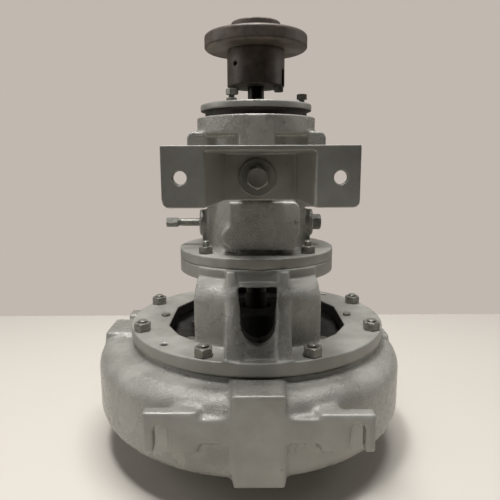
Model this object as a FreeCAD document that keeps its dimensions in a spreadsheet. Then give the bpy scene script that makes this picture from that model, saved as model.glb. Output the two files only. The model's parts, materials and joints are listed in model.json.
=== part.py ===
import FreeCAD, Part
import math
import os
import Sketcher

# Frame-mounted centrifugal pump that stands on its suction flange.
# Millimetres. Origin at the centre of the suction flange face, +Z up the shaft,
# -Y towards the mounting feet, +Y towards the discharge flange.

SIZES = {
    # suction face to the centre of the spiral, and from there to the casing face
    "volute_level": 101.6,
    "casing_rise": 58.2,
    # suction side of the casing
    "suction_flange_radius": 114.3,
    "suction_flange_thickness": 24.0,
    "suction_bore_radius": 51.0,
    "suction_neck_radius": 66.0,
    "suction_neck_length": 8.0,
    "suction_neck_flare": 30.0,
    "suction_bolt_circle": 95.25,
    "flange_hole_radius": 9.5,
    # impeller chamber and casing face
    "casing_wall": 9.0,
    "chamber_floor_drop": 26.0,
    "chamber_floor_thickness": 14.0,
    "chamber_radius": 142.0,
    "register_radius": 150.0,
    "register_depth": 18.2,
    "register_clearance": 0.3,
    "casing_rim_margin": 9.5,
    # spiral passage
    "passage_half_height": 44.0,
    "passage_drop": 3.1,
    "casing_roof_wall": 7.5,
    "casing_corner_radius": 26.0,
    "neck_corner_radius": 44.0,
    "passage_start_half_width": 20.8,
    "passage_throat_half_width": 43.4,
    # discharge nozzle
    "discharge_reach": 280.0,
    "discharge_flange_radius": 95.25,
    "discharge_flange_thickness": 19.0,
    "discharge_bore_radius": 39.0,
    "discharge_bore_depth": 20.0,
    "discharge_core_half_width": 37.7,
    "discharge_core_half_height": 38.0,
    "discharge_bolt_circle": 76.2,
    # casing foot: centre pad, slotted wings and the webs between them
    "foot_plane": 216.0,
    "pad_half_width": 30.0,
    "pad_drop": 54.5,
    "pad_rise": 55.0,
    "pad_corner_radius": 5.0,
    "wing_inner": 68.0,
    "wing_outer": 126.0,
    "wing_drop": 11.0,
    "left_wing_rise": 36.0,
    "right_wing_rise": 33.0,
    "wing_thickness": 16.0,
    "wing_step": 35.0,
    "wing_root_inset": 16.0,
    "wing_inner_skew": 12.0,
    "wing_inner_depth": 28.0,
    "slot_offset": 107.0,
    "slot_radius": 7.15,
    "slot_rise": 16.0,
    "web_drop": 1.0,
    "web_rise": 28.0,
    "web_depth": 36.0,
    # small cast lugs round the casing
    "left_lug_reach": 222.0,
    "left_lug_front": 14.0,
    "left_lug_back": 51.0,
    "right_lug_reach": 190.0,
    "right_lug_front": 30.0,
    "right_lug_back": 5.0,
    "rear_lug_reach": 205.0,
    "rear_lug_front": 62.0,
    "rear_lug_back": 92.0,
    "rear_lug_length": 24.0,
    "rear_lug_rise": 2.5,
    "lug_rise": 12.0,
    "lug_root_inset": 5.0,
    # wear ring
    "wear_ring_depth": 12.0,
    "wear_ring_radius": 64.0,
    "wear_ring_clearance": 0.3,
    "fit_clearance": 0.05,
    # casing cover
    "cover_clearance": 10.5,
    "cover_pocket_radius": 131.0,
    "cover_pocket_depth": 10.2,
    "cover_hub_radius": 48.0,
    "cover_hub_rise": 33.8,
    "seal_chamber_radius": 33.0,
    "seal_chamber_rise": 7.8,
    "seat_recess_radius": 30.0,
    "seat_thickness": 10.0,
    "cover_shaft_hole": 17.5,
    "gasket_thickness": 0.5,
    "gasket_lap": 10.0,
    # adapter
    "plate_margin": 12.5,
    "plate_thickness": 17.3,
    "yoke_height": 92.3,
    "yoke_radius": 138.0,
    "yoke_wall": 12.0,
    "yoke_crown_drop": 14.0,
    "yoke_neck_radius": 110.5,
    "yoke_half_width": 79.0,
    "yoke_head_half_width": 74.5,
    "yoke_head_height": 37.0,
    "adapter_flange_thickness": 18.3,
    "frame_flange_radius": 108.5,
    "frame_spigot_radius": 55.0,
    "frame_spigot_depth": 6.0,
    "opening_half_width": 122.0,
    "opening_half_depth": 100.0,
    "opening_corner": 38.0,
    "rib_foot_reach": 175.0,
    "rib_head_reach": 111.0,
    "rib_head_drop": 1.5,
    "rib_back": 90.0,
    "rib_outer": 39.0,
    "rib_inner_foot": 20.0,
    "rib_inner_head": 27.0,
    "band_recess": 5.0,
    "window_radius": 19.5,
    "window_head_half_width": 24.5,
    "window_bottom": 12.5,
    "window_back": 60.0,
    "window_top": 74.0,
    # studs, nuts and screws
    "stud_circle_margin": 17.5,
    "stud_radius": 6.35,
    "stud_embed": 9.5,
    "stud_top": 15.0,
    "nut_flats": 19.0,
    "nut_height": 11.5,
    "bolt_clearance": 0.7,
    "jack_screw_offset": 134.0,
    "jack_screw_radius": 4.0,
    "jack_screw_flats": 11.0,
    "jack_screw_head": 3.5,
    "jack_hole_circle": 165.0,
    "jack_hole_radius": 5.2,
    "cover_screw_circle": 100.0,
    "cover_screw_radius": 4.76,
    "cover_screw_flats": 14.3,
    "cover_screw_head": 7.0,
    "cover_screw_depth": 16.0,
    "frame_stud_circle": 94.5,
    "frame_stud_radius": 5.55,
    "frame_stud_top": 17.0,
    "frame_nut_flats": 17.5,
    "frame_nut_height": 9.6,
    # bearing frame
    "frame_height": 189.7,
    "frame_flange_thickness": 13.7,
    "barrel_radius": 69.0,
    "frame_ring_radius": 80.9,
    "frame_ring_height": 23.5,
    "frame_rib_half_width": 22.0,
    "frame_rib_back": 40.0,
    "frame_cavity_radius": 42.0,
    "sump_left": 35.7,
    "sump_right": 53.8,
    "sump_right_foot": 47.2,
    "sump_back": 30.0,
    "sump_reach": 88.0,
    "sump_rise": 7.0,
    "sump_step_rise": 32.0,
    "sump_height": 68.9,
    "sump_corner": 10.0,
    "drain_boss_radius": 13.5,
    "drain_boss_offset": 32.0,
    "drain_boss_rise": 23.9,
    "ear_reach": 91.0,
    "ear_foot_reach": 78.0,
    "ear_inner": 45.0,
    "ear_top": 170.3,
    "ear_straight": 25.0,
    "ear_foot": 72.0,
    "ear_half_depth": 45.0,
    "ear_corner": 9.0,
    "side_boss_reach": 80.0,
    "side_boss_radius": 18.5,
    "side_boss_foot_inset": 4.0,
    "side_boss_foot_half_depth": 13.0,
    "side_boss_face_radius": 14.0,
    "side_boss_level": 46.8,
    "side_boss_hole_depth": 12.0,
    "side_thread_length": 11.0,
    "nipple_radius": 5.3,
    "nipple_wall": 1.8,
    "nipple_reach": 115.0,
    "cap_width": 12.5,
    "cap_start": 111.5,
    "cap_end": 128.0,
    "plug_flats": 19.0,
    "plug_reach": 92.0,
    "plug_thread_radius": 8.0,
    # support foot
    "foot_thickness": 8.0,
    "foot_rise": 86.2,
    "foot_height": 61.0,
    "foot_left": 96.0,
    "foot_right": 100.0,
    "foot_bend_left": 52.7,
    "foot_bend_right": 55.8,
    "foot_seat_left": 38.5,
    "foot_seat_right": 45.5,
    "foot_seat_reach": 117.0,
    "foot_corner": 7.0,
    "foot_shelf_thickness": 4.8,
    "foot_hole_left": 77.6,
    "foot_hole_right": 80.4,
    "foot_hole_radius": 6.75,
    "foot_hole_rise": 29.8,
    "foot_bolt_rise": 26.8,
    "foot_bolt_radius": 7.94,
    "foot_bolt_flats": 24.0,
    "foot_bolt_head": 10.0,
    "foot_bolt_length": 42.0,
    "foot_washer_radius": 22.2,
    "foot_washer_thickness": 3.5,
    "foot_boss_radius": 26.0,
    "foot_boss_back": 50.0,
    # bearing cover
    "end_gasket_thickness": 0.5,
    "end_neck_radius": 69.6,
    "end_neck_height": 8.5,
    "end_disc_radius": 75.8,
    "end_disc_thickness": 8.5,
    "end_cavity_radius": 28.0,
    "end_cavity_depth": 4.0,
    "end_bolt_circle": 63.0,
    "end_bolt_radius": 4.0,
    "end_bolt_flats": 13.0,
    "end_bolt_head": 7.0,
    "end_bolt_standoff": 8.0,
    "end_bolt_embed": 16.0,
    "jam_nut_height": 4.0,
    # rolling bearings
    "bearing_bore_radius": 15.0,
    "bearing_outer_radius": 36.0,
    "bearing_width": 19.0,
    "ball_radius": 6.15,
    "ball_clearance": 0.25,
    "race_gap": 4.2,
    "cage_half_wall": 1.9,
    "cage_height": 15.0,
    "inboard_bearing_rise": 32.7,
    "outboard_bearing_drop": 30.0,
    # shaft
    "shaft_end_drop": 4.0,
    "shaft_seat_radius": 12.5,
    "shaft_seal_radius": 14.5,
    "shaft_middle_radius": 19.0,
    "shaft_end_radius": 11.1,
    "shaft_end_inset": 7.0,
    "sleeve_radius": 16.0,
    "sleeve_rise": 20.0,
    "lip_seal_height": 8.0,
    "inboard_seal_radius": 24.0,
    "outboard_seal_radius": 17.5,
    "lock_washer_thickness": 1.5,
    "lock_nut_radius": 22.0,
    "lock_nut_height": 8.5,
    "thread_radius": 14.0,
    "key_width": 5.0,
    "impeller_key_length": 22.0,
    "coupling_key_length": 50.0,
    "slinger_radius": 32.0,
    "slinger_thickness": 5.0,
    "slinger_rise": 26.0,
    # impeller
    "impeller_radius": 133.0,
    "impeller_hub_radius": 26.0,
    "impeller_hub_rise": 15.5,
    "outlet_width": 16.0,
    "shroud_thickness": 4.5,
    "eye_radius": 54.0,
    "eye_ring_wall": 4.0,
    "eye_ring_depth": 10.0,
    "vane_inlet_radius": 48.0,
    "vane_arc_radius": 98.4,
    "vane_centre_offset": 55.7,
    "vane_thickness": 5.0,
    "impeller_washer_radius": 18.0,
    "impeller_washer_thickness": 4.0,
    "impeller_screw_radius": 5.0,
    "impeller_screw_flats": 19.0,
    "impeller_screw_head": 8.0,
    "impeller_screw_length": 24.0,
    # mechanical seal
    "seal_head_radius": 28.0,
    "seal_head_height": 19.0,
    "spring_coil_radius": 22.0,
    "spring_wire_radius": 1.4,
    # coupling half
    "shaft_show": 24.2,
    "hub_radius": 38.9,
    "hub_height": 47.3,
    "hub_seat_radius": 35.0,
    "hub_boss_radius": 33.0,
    "hub_boss_height": 35.0,
    "coupling_flange_radius": 69.0,
    "coupling_flange_thickness": 19.0,
    "coupling_chamfer": 2.5,
    "coupling_screw_circle": 32.5,
    "coupling_screw_radius": 4.0,
    "coupling_screw_channel": 7.0,
    "coupling_screw_channel_height": 22.0,
    "coupling_screw_flats": 12.7,
    "coupling_screw_head": 8.0,
    "coupling_screw_drop": 7.5,
    "set_screw_radius": 3.0,
    "set_screw_level": 27.0,
    "set_screw_length": 20.0,
}

TONGUE_ANGLE = 95.0
SPIRAL_SWEEP = 275.0
SPIRAL_SECTIONS = 10
TONGUE_WALL_ANGLE = 5.0
NOZZLE_SECTIONS = 6
NOZZLE_OVERLAP = 3.0
NOZZLE_DELAY = 1.6
PASSAGE_OFFSET = 0.75
VANES = 6
BALLS = 8
SPRING_TURNS = 3
PAST = 1.0

doc = FreeCAD.newDocument("centrifugal_pump")
sheet = doc.addObject("Spreadsheet::Sheet", "Sizes")
for row, (alias, number) in enumerate(SIZES.items(), start=1):
    sheet.set(f"A{row}", alias)
    sheet.set(f"B{row}", str(number))
    sheet.setAlias(f"B{row}", alias)
doc.recompute()


class Size:
    """A length with its value and the sheet expression that gives it."""

    def __init__(self, text, value):
        self.text = text
        self.value = float(value)

    def __add__(self, other):
        other = as_size(other)
        return Size(f"({self.text} + {other.text})", self.value + other.value)

    def __sub__(self, other):
        other = as_size(other)
        return Size(f"({self.text} - {other.text})", self.value - other.value)

    def __mul__(self, factor):
        factor = as_size(factor)
        return Size(f"({self.text} * {factor.text})", self.value * factor.value)

    def __truediv__(self, factor):
        factor = as_size(factor)
        return Size(f"({self.text} / {factor.text})", self.value / factor.value)

    def __neg__(self):
        return Size(f"(0 - {self.text})", -self.value)


def as_size(number):
    """A plain number as a Size, and a Size as it is."""
    if isinstance(number, Size):
        return number
    return Size(f"({float(number):.9f})", number)


class Sheet:
    """Gives each alias of the sheet as a Size."""

    def __getattr__(self, alias):
        return Size(f"Sizes.{alias}", SIZES[alias])


s = Sheet()
vector = FreeCAD.Vector
nodes = []


def bind(item, name, size):
    """Ties one property of an object to its expression in the sheet."""
    item.setExpression(name, as_size(size).text)


def place(item, x=0.0, y=0.0, z=0.0, rotation=None):
    """Puts an object at a place whose coordinates are bound to the sheet."""
    where = [as_size(x), as_size(y), as_size(z)]
    turn = rotation or FreeCAD.Rotation()
    item.Placement = FreeCAD.Placement(vector(*[size.value for size in where]), turn)
    for axis, size in zip("xyz", where):
        bind(item, f"Placement.Base.{axis}", size)
    return item


def node(name, item):
    """Declares an object as a finished piece with its own label."""
    item.Label = name
    nodes.append(item)
    return item


def polar(radius, angle):
    """The X and Y of a point at a radius and an angle in degrees."""
    turn = math.radians(angle)
    return radius * math.cos(turn), radius * math.sin(turn)


def sketch_on(body, name, role, offset=0.0):
    """A sketch on one of the body's own origin planes, moved along its normal."""
    sketch = body.newObject("Sketcher::SketchObject", name)
    plane = [item for item in body.Origin.OriginFeatures if item.Role == role][0]
    sketch.AttachmentSupport = [(plane, "")]
    sketch.MapMode = "FlatFace"
    offset = as_size(offset)
    sketch.AttachmentOffset = FreeCAD.Placement(vector(0, 0, offset.value), FreeCAD.Rotation())
    bind(sketch, "AttachmentOffset.Base.z", offset)
    return sketch


def add_outline(sketch, points):
    """A closed outline of straight lines, each corner bound to the sheet."""
    corners = [(as_size(a), as_size(b)) for a, b in points]
    places = [vector(a.value, b.value, 0) for a, b in corners]
    first = sketch.GeometryCount
    count = len(corners)
    for k in range(count):
        sketch.addGeometry(Part.LineSegment(places[k], places[(k + 1) % count]), False)
    for k in range(count):
        follower = first + (k + 1) % count
        sketch.addConstraint(Sketcher.Constraint("Coincident", first + k, 2, follower, 1))
    for k, (a, b) in enumerate(corners):
        for kind, size in (("DistanceX", a), ("DistanceY", b)):
            rule = Sketcher.Constraint(kind, -1, 1, first + k, 1, size.value)
            index = sketch.addConstraint(rule)
            bind(sketch, f"Constraints[{index}]", size)


def add_revolution(body, name, points, kind="Revolution"):
    """Turns an outline of radius and height about the shaft axis."""
    sketch = sketch_on(body, f"{name}_outline", "XZ_Plane")
    add_outline(sketch, points)
    feature = body.newObject(f"PartDesign::{kind}", name)
    feature.Profile = sketch
    feature.ReferenceAxis = (sketch, ["V_Axis"])
    feature.Angle = 360.0
    return feature


def turned(name, points):
    """A lathe-turned body from its half outline of radius and height."""
    body = doc.addObject("PartDesign::Body", name)
    add_revolution(body, f"{name}_turning", points)
    return body


def slab(name, role, points, start, end):
    """A straight body: an outline on a plane, from one offset to another."""
    body = doc.addObject("PartDesign::Body", name)
    sketch = sketch_on(body, f"{name}_outline", role, start)
    add_outline(sketch, points)
    pad = body.newObject("PartDesign::Pad", f"{name}_pad")
    pad.Profile = sketch
    bind(pad, "Length", as_size(end) - start)
    return body


def block(name, x, y, z):
    """A box between two limits along each axis."""
    item = doc.addObject("Part::Box", name)
    for prop, (low, high) in zip(("Length", "Width", "Height"), (x, y, z)):
        bind(item, prop, as_size(high) - low)
    return place(item, x[0], y[0], z[0])


TURNS = {
    "X": FreeCAD.Rotation(vector(0, 1, 0), 90),
    "Y": FreeCAD.Rotation(vector(1, 0, 0), -90),
    "Z": FreeCAD.Rotation(),
}


def along(item, axis, start, across, above, turn=0.0):
    """Lays a bar along an axis, from a start, at its two other coordinates."""
    rotation = TURNS[axis].multiply(FreeCAD.Rotation(vector(0, 0, 1), turn))
    if axis == "X":
        return place(item, start, across, above, rotation)
    if axis == "Y":
        return place(item, across, start, above, rotation)
    return place(item, across, above, start, rotation)


def rod(name, radius, start, end, axis="Z", across=0.0, above=0.0):
    """A round bar along an axis between two levels."""
    item = doc.addObject("Part::Cylinder", name)
    bind(item, "Radius", radius)
    bind(item, "Height", as_size(end) - start)
    return along(item, axis, start, across, above)


def hex_bar(name, flats, start, end, axis="Z", across=0.0, above=0.0, turn=0.0, sides=6):
    """A bar with six sides (or four), of a width across its flats."""
    item = doc.addObject("Part::Prism", name)
    item.Polygon = sides
    bind(item, "Circumradius", as_size(flats) / (2 * math.cos(math.pi / sides)))
    bind(item, "Height", as_size(end) - start)
    return along(item, axis, start, across, above, turn)


def fused(name, *items):
    """Joins shapes that overlap into one solid."""
    item = doc.addObject("Part::MultiFuse", name)
    item.Shapes = list(items)
    item.Refine = False
    return item


def cut(name, base, *tools):
    """Takes tools away from a base shape."""
    item = doc.addObject("Part::Cut", name)
    item.Base = base
    item.Tool = tools[0] if len(tools) == 1 else fused(f"{name}_tools", *tools)
    item.Refine = False
    return item


def group(name, *items):
    """Holds separate like solids as one piece set."""
    item = doc.addObject("Part::Compound", name)
    item.Links = list(items)
    return item


def circle_of(name, seed, radius, angles, z=0.0):
    """Copies of a shape made on the axis, set round a circle."""
    copies = []
    for k, angle in enumerate(angles):
        copy = doc.addObject("App::Link", f"{name}_{k}")
        copy.LinkedObject = seed
        x, y = polar(radius, angle)
        for axis, size in zip("xyz", (x, y, z)):
            bind(copy, f"Placement.Base.{axis}", size)
        copies.append(copy)
    return group(f"{name}_set", *copies)


def fillet_edges(name, base, radius, chosen):
    """Rounds the edges of a shape that a test picks out."""
    base.recompute(True)
    item = doc.addObject("Part::Fillet", name)
    item.Base = base
    picked = [k for k, edge in enumerate(base.Shape.Edges, start=1) if chosen(edge)]
    item.Edges = [(k, as_size(radius).value, as_size(radius).value) for k in picked]
    return item


def near(value, size, tolerance=0.01):
    """Whether a number is the value of a size."""
    return abs(value - as_size(size).value) < tolerance


def level_circle(radius, level):
    """A test for a circular edge of a radius at a height."""

    def chosen(edge):
        curve = edge.Curve
        is_circle = isinstance(curve, Part.Circle)
        return is_circle and near(curve.Radius, radius) and near(curve.Center.z, level)

    return chosen


# Levels that several pieces share, from the suction face up.
chamber_floor = s.volute_level - s.chamber_floor_drop
outlet_bottom = s.volute_level - s.outlet_width / 2.0
shroud_bottom = s.volute_level + s.outlet_width / 2.0
shroud_top = shroud_bottom + s.shroud_thickness
impeller_hub_top = shroud_top + s.impeller_hub_rise
shaft_bottom = s.volute_level - s.shaft_end_drop
cover_underside = shroud_top + s.cover_clearance
casing_height = s.volute_level + s.casing_rise
register_level = casing_height - s.register_depth
cover_pocket_level = casing_height - s.cover_pocket_depth
cover_hub_height = casing_height + s.cover_hub_rise
seal_chamber_top = casing_height + s.seal_chamber_rise
seat_top = seal_chamber_top + s.seat_thickness
sleeve_top = cover_hub_height + s.sleeve_rise
slinger_level = sleeve_top + s.slinger_rise
stud_circle = s.register_radius + s.stud_circle_margin
casing_rim_radius = stud_circle + s.casing_rim_margin
plate_radius = stud_circle + s.plate_margin
plate_bottom = casing_height + s.gasket_thickness
plate_top = plate_bottom + s.plate_thickness
frame_base = plate_top + s.yoke_height
adapter_flange_bottom = frame_base - s.adapter_flange_thickness
frame_flange_top = frame_base + s.frame_flange_thickness
frame_top = frame_base + s.frame_height
ring_bottom = frame_top - s.frame_ring_height
foot_bottom = frame_base + s.foot_rise
inboard_bearing_level = frame_base + s.inboard_bearing_rise
outboard_bearing_level = frame_top - s.outboard_bearing_drop
end_neck_bottom = frame_top + s.end_gasket_thickness
end_disc_bottom = end_neck_bottom + s.end_neck_height
end_disc_top = end_disc_bottom + s.end_disc_thickness
hub_bottom = end_disc_top + s.shaft_show
coupling_flange_bottom = hub_bottom + s.hub_height
hub_top = coupling_flange_bottom + s.hub_boss_height
shaft_top = hub_top - s.shaft_end_inset

STUD_ANGLES = [22.5 + 45.0 * k for k in range(8)]
FRAME_STUD_ANGLES = [45.0 + 90.0 * k for k in range(4)]
END_BOLT_ANGLES = [0.0, 120.0, 240.0]
JACK_HOLE_ANGLES = [45.0, 225.0]
COVER_SCREW_ANGLES = [22.5, 157.5, 202.5, 337.5]
SUCTION_HOLE_ANGLES = [22.5 + 45.0 * k for k in range(8)]
DISCHARGE_HOLE_ANGLES = [45.0 + 90.0 * k for k in range(4)]
COUPLING_SCREW_ANGLES = [-20.0, 160.0]
SET_SCREW_ANGLE = -135.0


def passage_half_width(swept):
    """Inner half width of the spiral after an angle from the tongue."""
    gain = s.passage_throat_half_width - s.passage_start_half_width
    return s.passage_start_half_width + gain * (swept / SPIRAL_SWEEP)


def oval(name, half_width, half_height):
    """An upright oval cross-section of the passage."""
    item = doc.addObject("Part::Ellipse", name)
    bind(item, "MajorRadius", half_height)
    bind(item, "MinorRadius", half_width)
    return item


def rounded_box(name, half_width, half_height, corner):
    """An upright cross-section with straight sides and round corners."""
    item = doc.addObject("Sketcher::SketchObject", name)
    high, wide = half_height - corner, half_width - corner
    signs = [(1, 1), (-1, 1), (-1, -1), (1, -1)]
    for k, (a, b) in enumerate(signs):
        centre = vector(a * high.value, b * wide.value, 0)
        circle = Part.Circle(centre, vector(0, 0, 1), corner.value)
        start = math.pi / 2.0 * k
        item.addGeometry(Part.ArcOfCircle(circle, start, start + math.pi / 2.0), False)
    arcs = [item.Geometry[k] for k in range(4)]
    for k in range(4):
        follower = arcs[(k + 1) % 4]
        item.addGeometry(Part.LineSegment(arcs[k].EndPoint, follower.StartPoint), False)
    for k, (a, b) in enumerate(signs):
        rules = [("DistanceX", high * a), ("DistanceY", wide * b)]
        for kind, size in rules:
            index = item.addConstraint(Sketcher.Constraint(kind, -1, 1, k, 3, size.value))
            bind(item, f"Constraints[{index}]", size)
        index = item.addConstraint(Sketcher.Constraint("Radius", k, corner.value))
        bind(item, f"Constraints[{index}]", corner)
        item.addConstraint(Sketcher.Constraint("Tangent", k, 2, 4 + k, 1))
        item.addConstraint(Sketcher.Constraint("Tangent", 4 + k, 2, (k + 1) % 4, 1))
    return item


def upright(item, x, y, drop, heading):
    """Stands a cross-section at a point of the passage, square to its heading."""
    ahead = vector(math.cos(heading), math.sin(heading), 0)
    up = vector(0, 0, 1)
    turn = FreeCAD.Rotation(up, ahead.cross(up), ahead, "XYZ")
    return place(item, x, y, s.volute_level - drop, turn)


def spiral(name, first, is_outside):
    """The spiral part of the casing or of its passage, from a first angle on."""
    sections = []
    for k in range(SPIRAL_SECTIONS):
        swept = first + (SPIRAL_SWEEP - first) * k / (SPIRAL_SECTIONS - 1)
        half_width = passage_half_width(swept)
        x, y = polar(s.chamber_radius + half_width * PASSAGE_OFFSET, TONGUE_ANGLE - swept)
        heading = math.radians(TONGUE_ANGLE - swept - 90.0)
        height = s.passage_half_height
        if is_outside:
            wall = s.casing_wall
            corner = s.casing_corner_radius
            roof = height + s.casing_roof_wall
            item = rounded_box(f"{name}_{k}", half_width + wall, roof, corner)
        else:
            item = oval(f"{name}_{k}", half_width, height)
        sections.append(upright(item, x, y, s.passage_drop, heading))
    return lofted(name, sections)


def nozzle(name, is_outside):
    """The swan neck from the end of the spiral to the discharge flange."""
    sections = []
    throat = s.passage_throat_half_width
    start_x = s.chamber_radius + throat * PASSAGE_OFFSET
    end_y = s.discharge_reach - s.discharge_flange_thickness + NOZZLE_OVERLAP
    for k in range(NOZZLE_SECTIONS + 1):
        share = k / NOZZLE_SECTIONS
        late = share**NOZZLE_DELAY
        eased = late * late * (3.0 - 2.0 * late)
        slope = 6.0 * late * (1.0 - late) * NOZZLE_DELAY * share ** (NOZZLE_DELAY - 1.0)
        heading = math.atan2(end_y.value, start_x.value * slope)
        height = s.passage_half_height
        half_width = throat + (s.discharge_core_half_width - throat) * share
        half_height = height + (s.discharge_core_half_height - height) * share
        if is_outside:
            wall = s.casing_wall
            first = s.casing_corner_radius
            corner = first + (s.neck_corner_radius - first) * share
            roof = half_height + s.casing_roof_wall
            item = rounded_box(f"{name}_{k}", half_width + wall, roof, corner)
        else:
            item = oval(f"{name}_{k}", half_width, half_height)
        x = -start_x * (1.0 - eased)
        y = end_y * share
        sections.append(upright(item, x, y, s.passage_drop * (1.0 - share), heading))
    return lofted(name, sections)


def lofted(name, sections):
    """A smooth solid through a row of cross-sections."""
    loft = doc.addObject("Part::Loft", name)
    loft.Sections = sections
    loft.Solid = True
    loft.Ruled = False
    return loft


def volute_casing():
    """Cast casing: suction flange, chamber, spiral, discharge and feet."""
    drum_bottom = chamber_floor - s.chamber_floor_thickness
    neck_top = s.suction_flange_thickness + s.suction_neck_length
    drum = turned(
        "casing_drum",
        [
            (0, 0),
            (s.suction_flange_radius, 0),
            (s.suction_flange_radius, s.suction_flange_thickness),
            (s.suction_neck_radius, s.suction_flange_thickness),
            (s.suction_neck_radius, neck_top),
            (s.suction_neck_radius + s.suction_neck_flare, drum_bottom),
            (s.register_radius, drum_bottom),
            (s.register_radius, register_level),
            (casing_rim_radius, register_level),
            (casing_rim_radius, casing_height),
            (0, casing_height),
        ],
    )
    ring_seat = chamber_floor - s.wear_ring_depth
    register = s.register_radius + s.register_clearance
    hollow = turned(
        "casing_hollow",
        [
            (0, -PAST),
            (s.suction_bore_radius, -PAST),
            (s.suction_bore_radius, ring_seat),
            (s.wear_ring_radius + s.fit_clearance, ring_seat),
            (s.wear_ring_radius + s.fit_clearance, chamber_floor),
            (s.chamber_radius, chamber_floor),
            (s.chamber_radius, register_level),
            (register, register_level),
            (register, casing_height + PAST),
            (0, casing_height + PAST),
        ],
    )
    flange_start = s.discharge_reach - s.discharge_flange_thickness
    level = s.volute_level
    flange_radius = s.discharge_flange_radius
    flange = rod("discharge_disc", flange_radius, flange_start, s.discharge_reach, "Y", 0, level)
    bore_end = s.discharge_reach + PAST
    bore_start = s.discharge_reach - s.discharge_bore_depth
    bore = rod("discharge_bore", s.discharge_bore_radius, bore_start, bore_end, "Y", 0, level)
    hole_start = flange_start - 5 * PAST
    holes = [
        rod(f"discharge_hole_{k}", s.flange_hole_radius, hole_start, bore_end, "Y", x, y + level)
        for k, (x, y) in enumerate(
            polar(s.discharge_bolt_circle, angle) for angle in DISCHARGE_HOLE_ANGLES
        )
    ]
    suction_hole = rod(
        "suction_hole", s.flange_hole_radius, -PAST, s.suction_flange_thickness + PAST
    )
    suction_holes = circle_of(
        "suction_holes", suction_hole, s.suction_bolt_circle, SUCTION_HOLE_ANGLES
    )
    stud_seat = rod("casing_stud_hole", s.stud_radius + s.fit_clearance, 0, s.stud_embed + PAST)
    stud_holes = circle_of(
        "casing_stud_holes",
        stud_seat,
        stud_circle,
        STUD_ANGLES,
        casing_height - s.stud_embed,
    )
    cast = fused(
        "casing_cast",
        drum,
        spiral("casing_spiral", 0.0, True),
        nozzle("casing_nozzle", True),
        flange,
        *casing_feet(),
    )
    passages = (
        spiral("passage_spiral", TONGUE_WALL_ANGLE, False),
        nozzle("passage_nozzle", False),
    )
    node(
        "volute_casing",
        cut("casing_machined", cast, *passages, hollow, bore, *holes, suction_holes, stud_holes),
    )


def casing_feet():
    """The foot pad, its slotted wings and webs, and the small side lugs."""
    root = s.register_radius
    level = s.volute_level
    pad_bottom, pad_top = level - s.pad_drop, level + s.pad_rise
    wing_bottom = level - s.wing_drop
    wing_rises = {"left": s.left_wing_rise, "right": s.right_wing_rise}
    slot_top = level + s.slot_rise
    pad = slab(
        "foot_pad",
        "XZ_Plane",
        [
            (-s.pad_half_width, pad_bottom),
            (s.pad_half_width, pad_bottom),
            (s.pad_half_width, pad_top),
            (-s.pad_half_width, pad_top),
        ],
        root,
        s.foot_plane,
    )

    def low_corner(edge):
        middle = edge.CenterOfMass
        return near(abs(middle.x), s.pad_half_width) and near(middle.z, pad_bottom)

    pieces = [fillet_edges("foot_pad_rounded", pad, s.pad_corner_radius, low_corner)]
    wing_back = -(s.foot_plane - s.wing_thickness)
    front = -s.foot_plane
    for side, sign in (("left", -1.0), ("right", 1.0)):
        wing = slab(
            f"{side}_wing",
            "XY_Plane",
            [
                (s.wing_inner * sign, front),
                (s.wing_outer * sign, front),
                (s.wing_outer * sign, wing_back),
                ((s.wing_outer - s.wing_step) * sign, wing_back),
                ((s.wing_inner + s.wing_inner_skew) * sign, wing_back + s.wing_step),
                ((s.wing_inner - s.wing_root_inset) * sign, wing_back + s.wing_step),
                ((s.wing_inner - s.wing_inner_skew) * sign, front + s.wing_inner_depth),
            ],
            wing_bottom,
            level + wing_rises[side],
        )
        slot_low = wing_bottom - PAST
        slot_x = s.slot_offset * sign
        slot = block(
            f"{side}_slot",
            (slot_x - s.slot_radius, slot_x + s.slot_radius),
            (front - PAST, wing_back + PAST),
            (slot_low, slot_top),
        )
        slot_end = rod(
            f"{side}_slot_end", s.slot_radius, front - PAST, wing_back + PAST, "Y", slot_x, slot_top
        )
        pieces.append(cut(f"{side}_slotted_wing", wing, slot, slot_end))
        ends = (0.0, s.wing_inner * sign) if sign > 0 else (s.wing_inner * sign, 0.0)
        pieces.append(
            block(
                f"{side}_web",
                ends,
                (front, front + s.web_depth),
                (level - s.web_drop, level + s.web_rise),
            )
        )
    lug_bottom = level + s.lug_rise
    rim = casing_rim_radius - s.lug_root_inset
    rear_start = -s.rear_lug_reach + s.rear_lug_length
    rear_top = pad_top + s.rear_lug_rise
    left_sides = (-s.left_lug_front, s.left_lug_back)
    right_sides = (-s.right_lug_front, s.right_lug_back)
    rear_sides = (s.rear_lug_front, s.rear_lug_back)
    pieces += [
        block("left_lug", (-s.left_lug_reach, -rim), left_sides, (lug_bottom, pad_top)),
        block("right_lug", (rim, s.right_lug_reach), right_sides, (lug_bottom, pad_top)),
        block("rear_lug", (-s.rear_lug_reach, rear_start), rear_sides, (lug_bottom, rear_top)),
    ]
    return pieces


def wear_ring():
    """Bronze ring that the impeller eye runs in."""
    bottom = chamber_floor - s.wear_ring_depth
    running = s.eye_radius + s.eye_ring_wall + s.wear_ring_clearance
    node("wear_ring", ring("wear_ring_body", running, s.wear_ring_radius, bottom, chamber_floor))


def ring(name, inner, outer, bottom, top):
    """A plain turned ring."""
    return turned(name, [(inner, bottom), (outer, bottom), (outer, top), (inner, top)])


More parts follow.
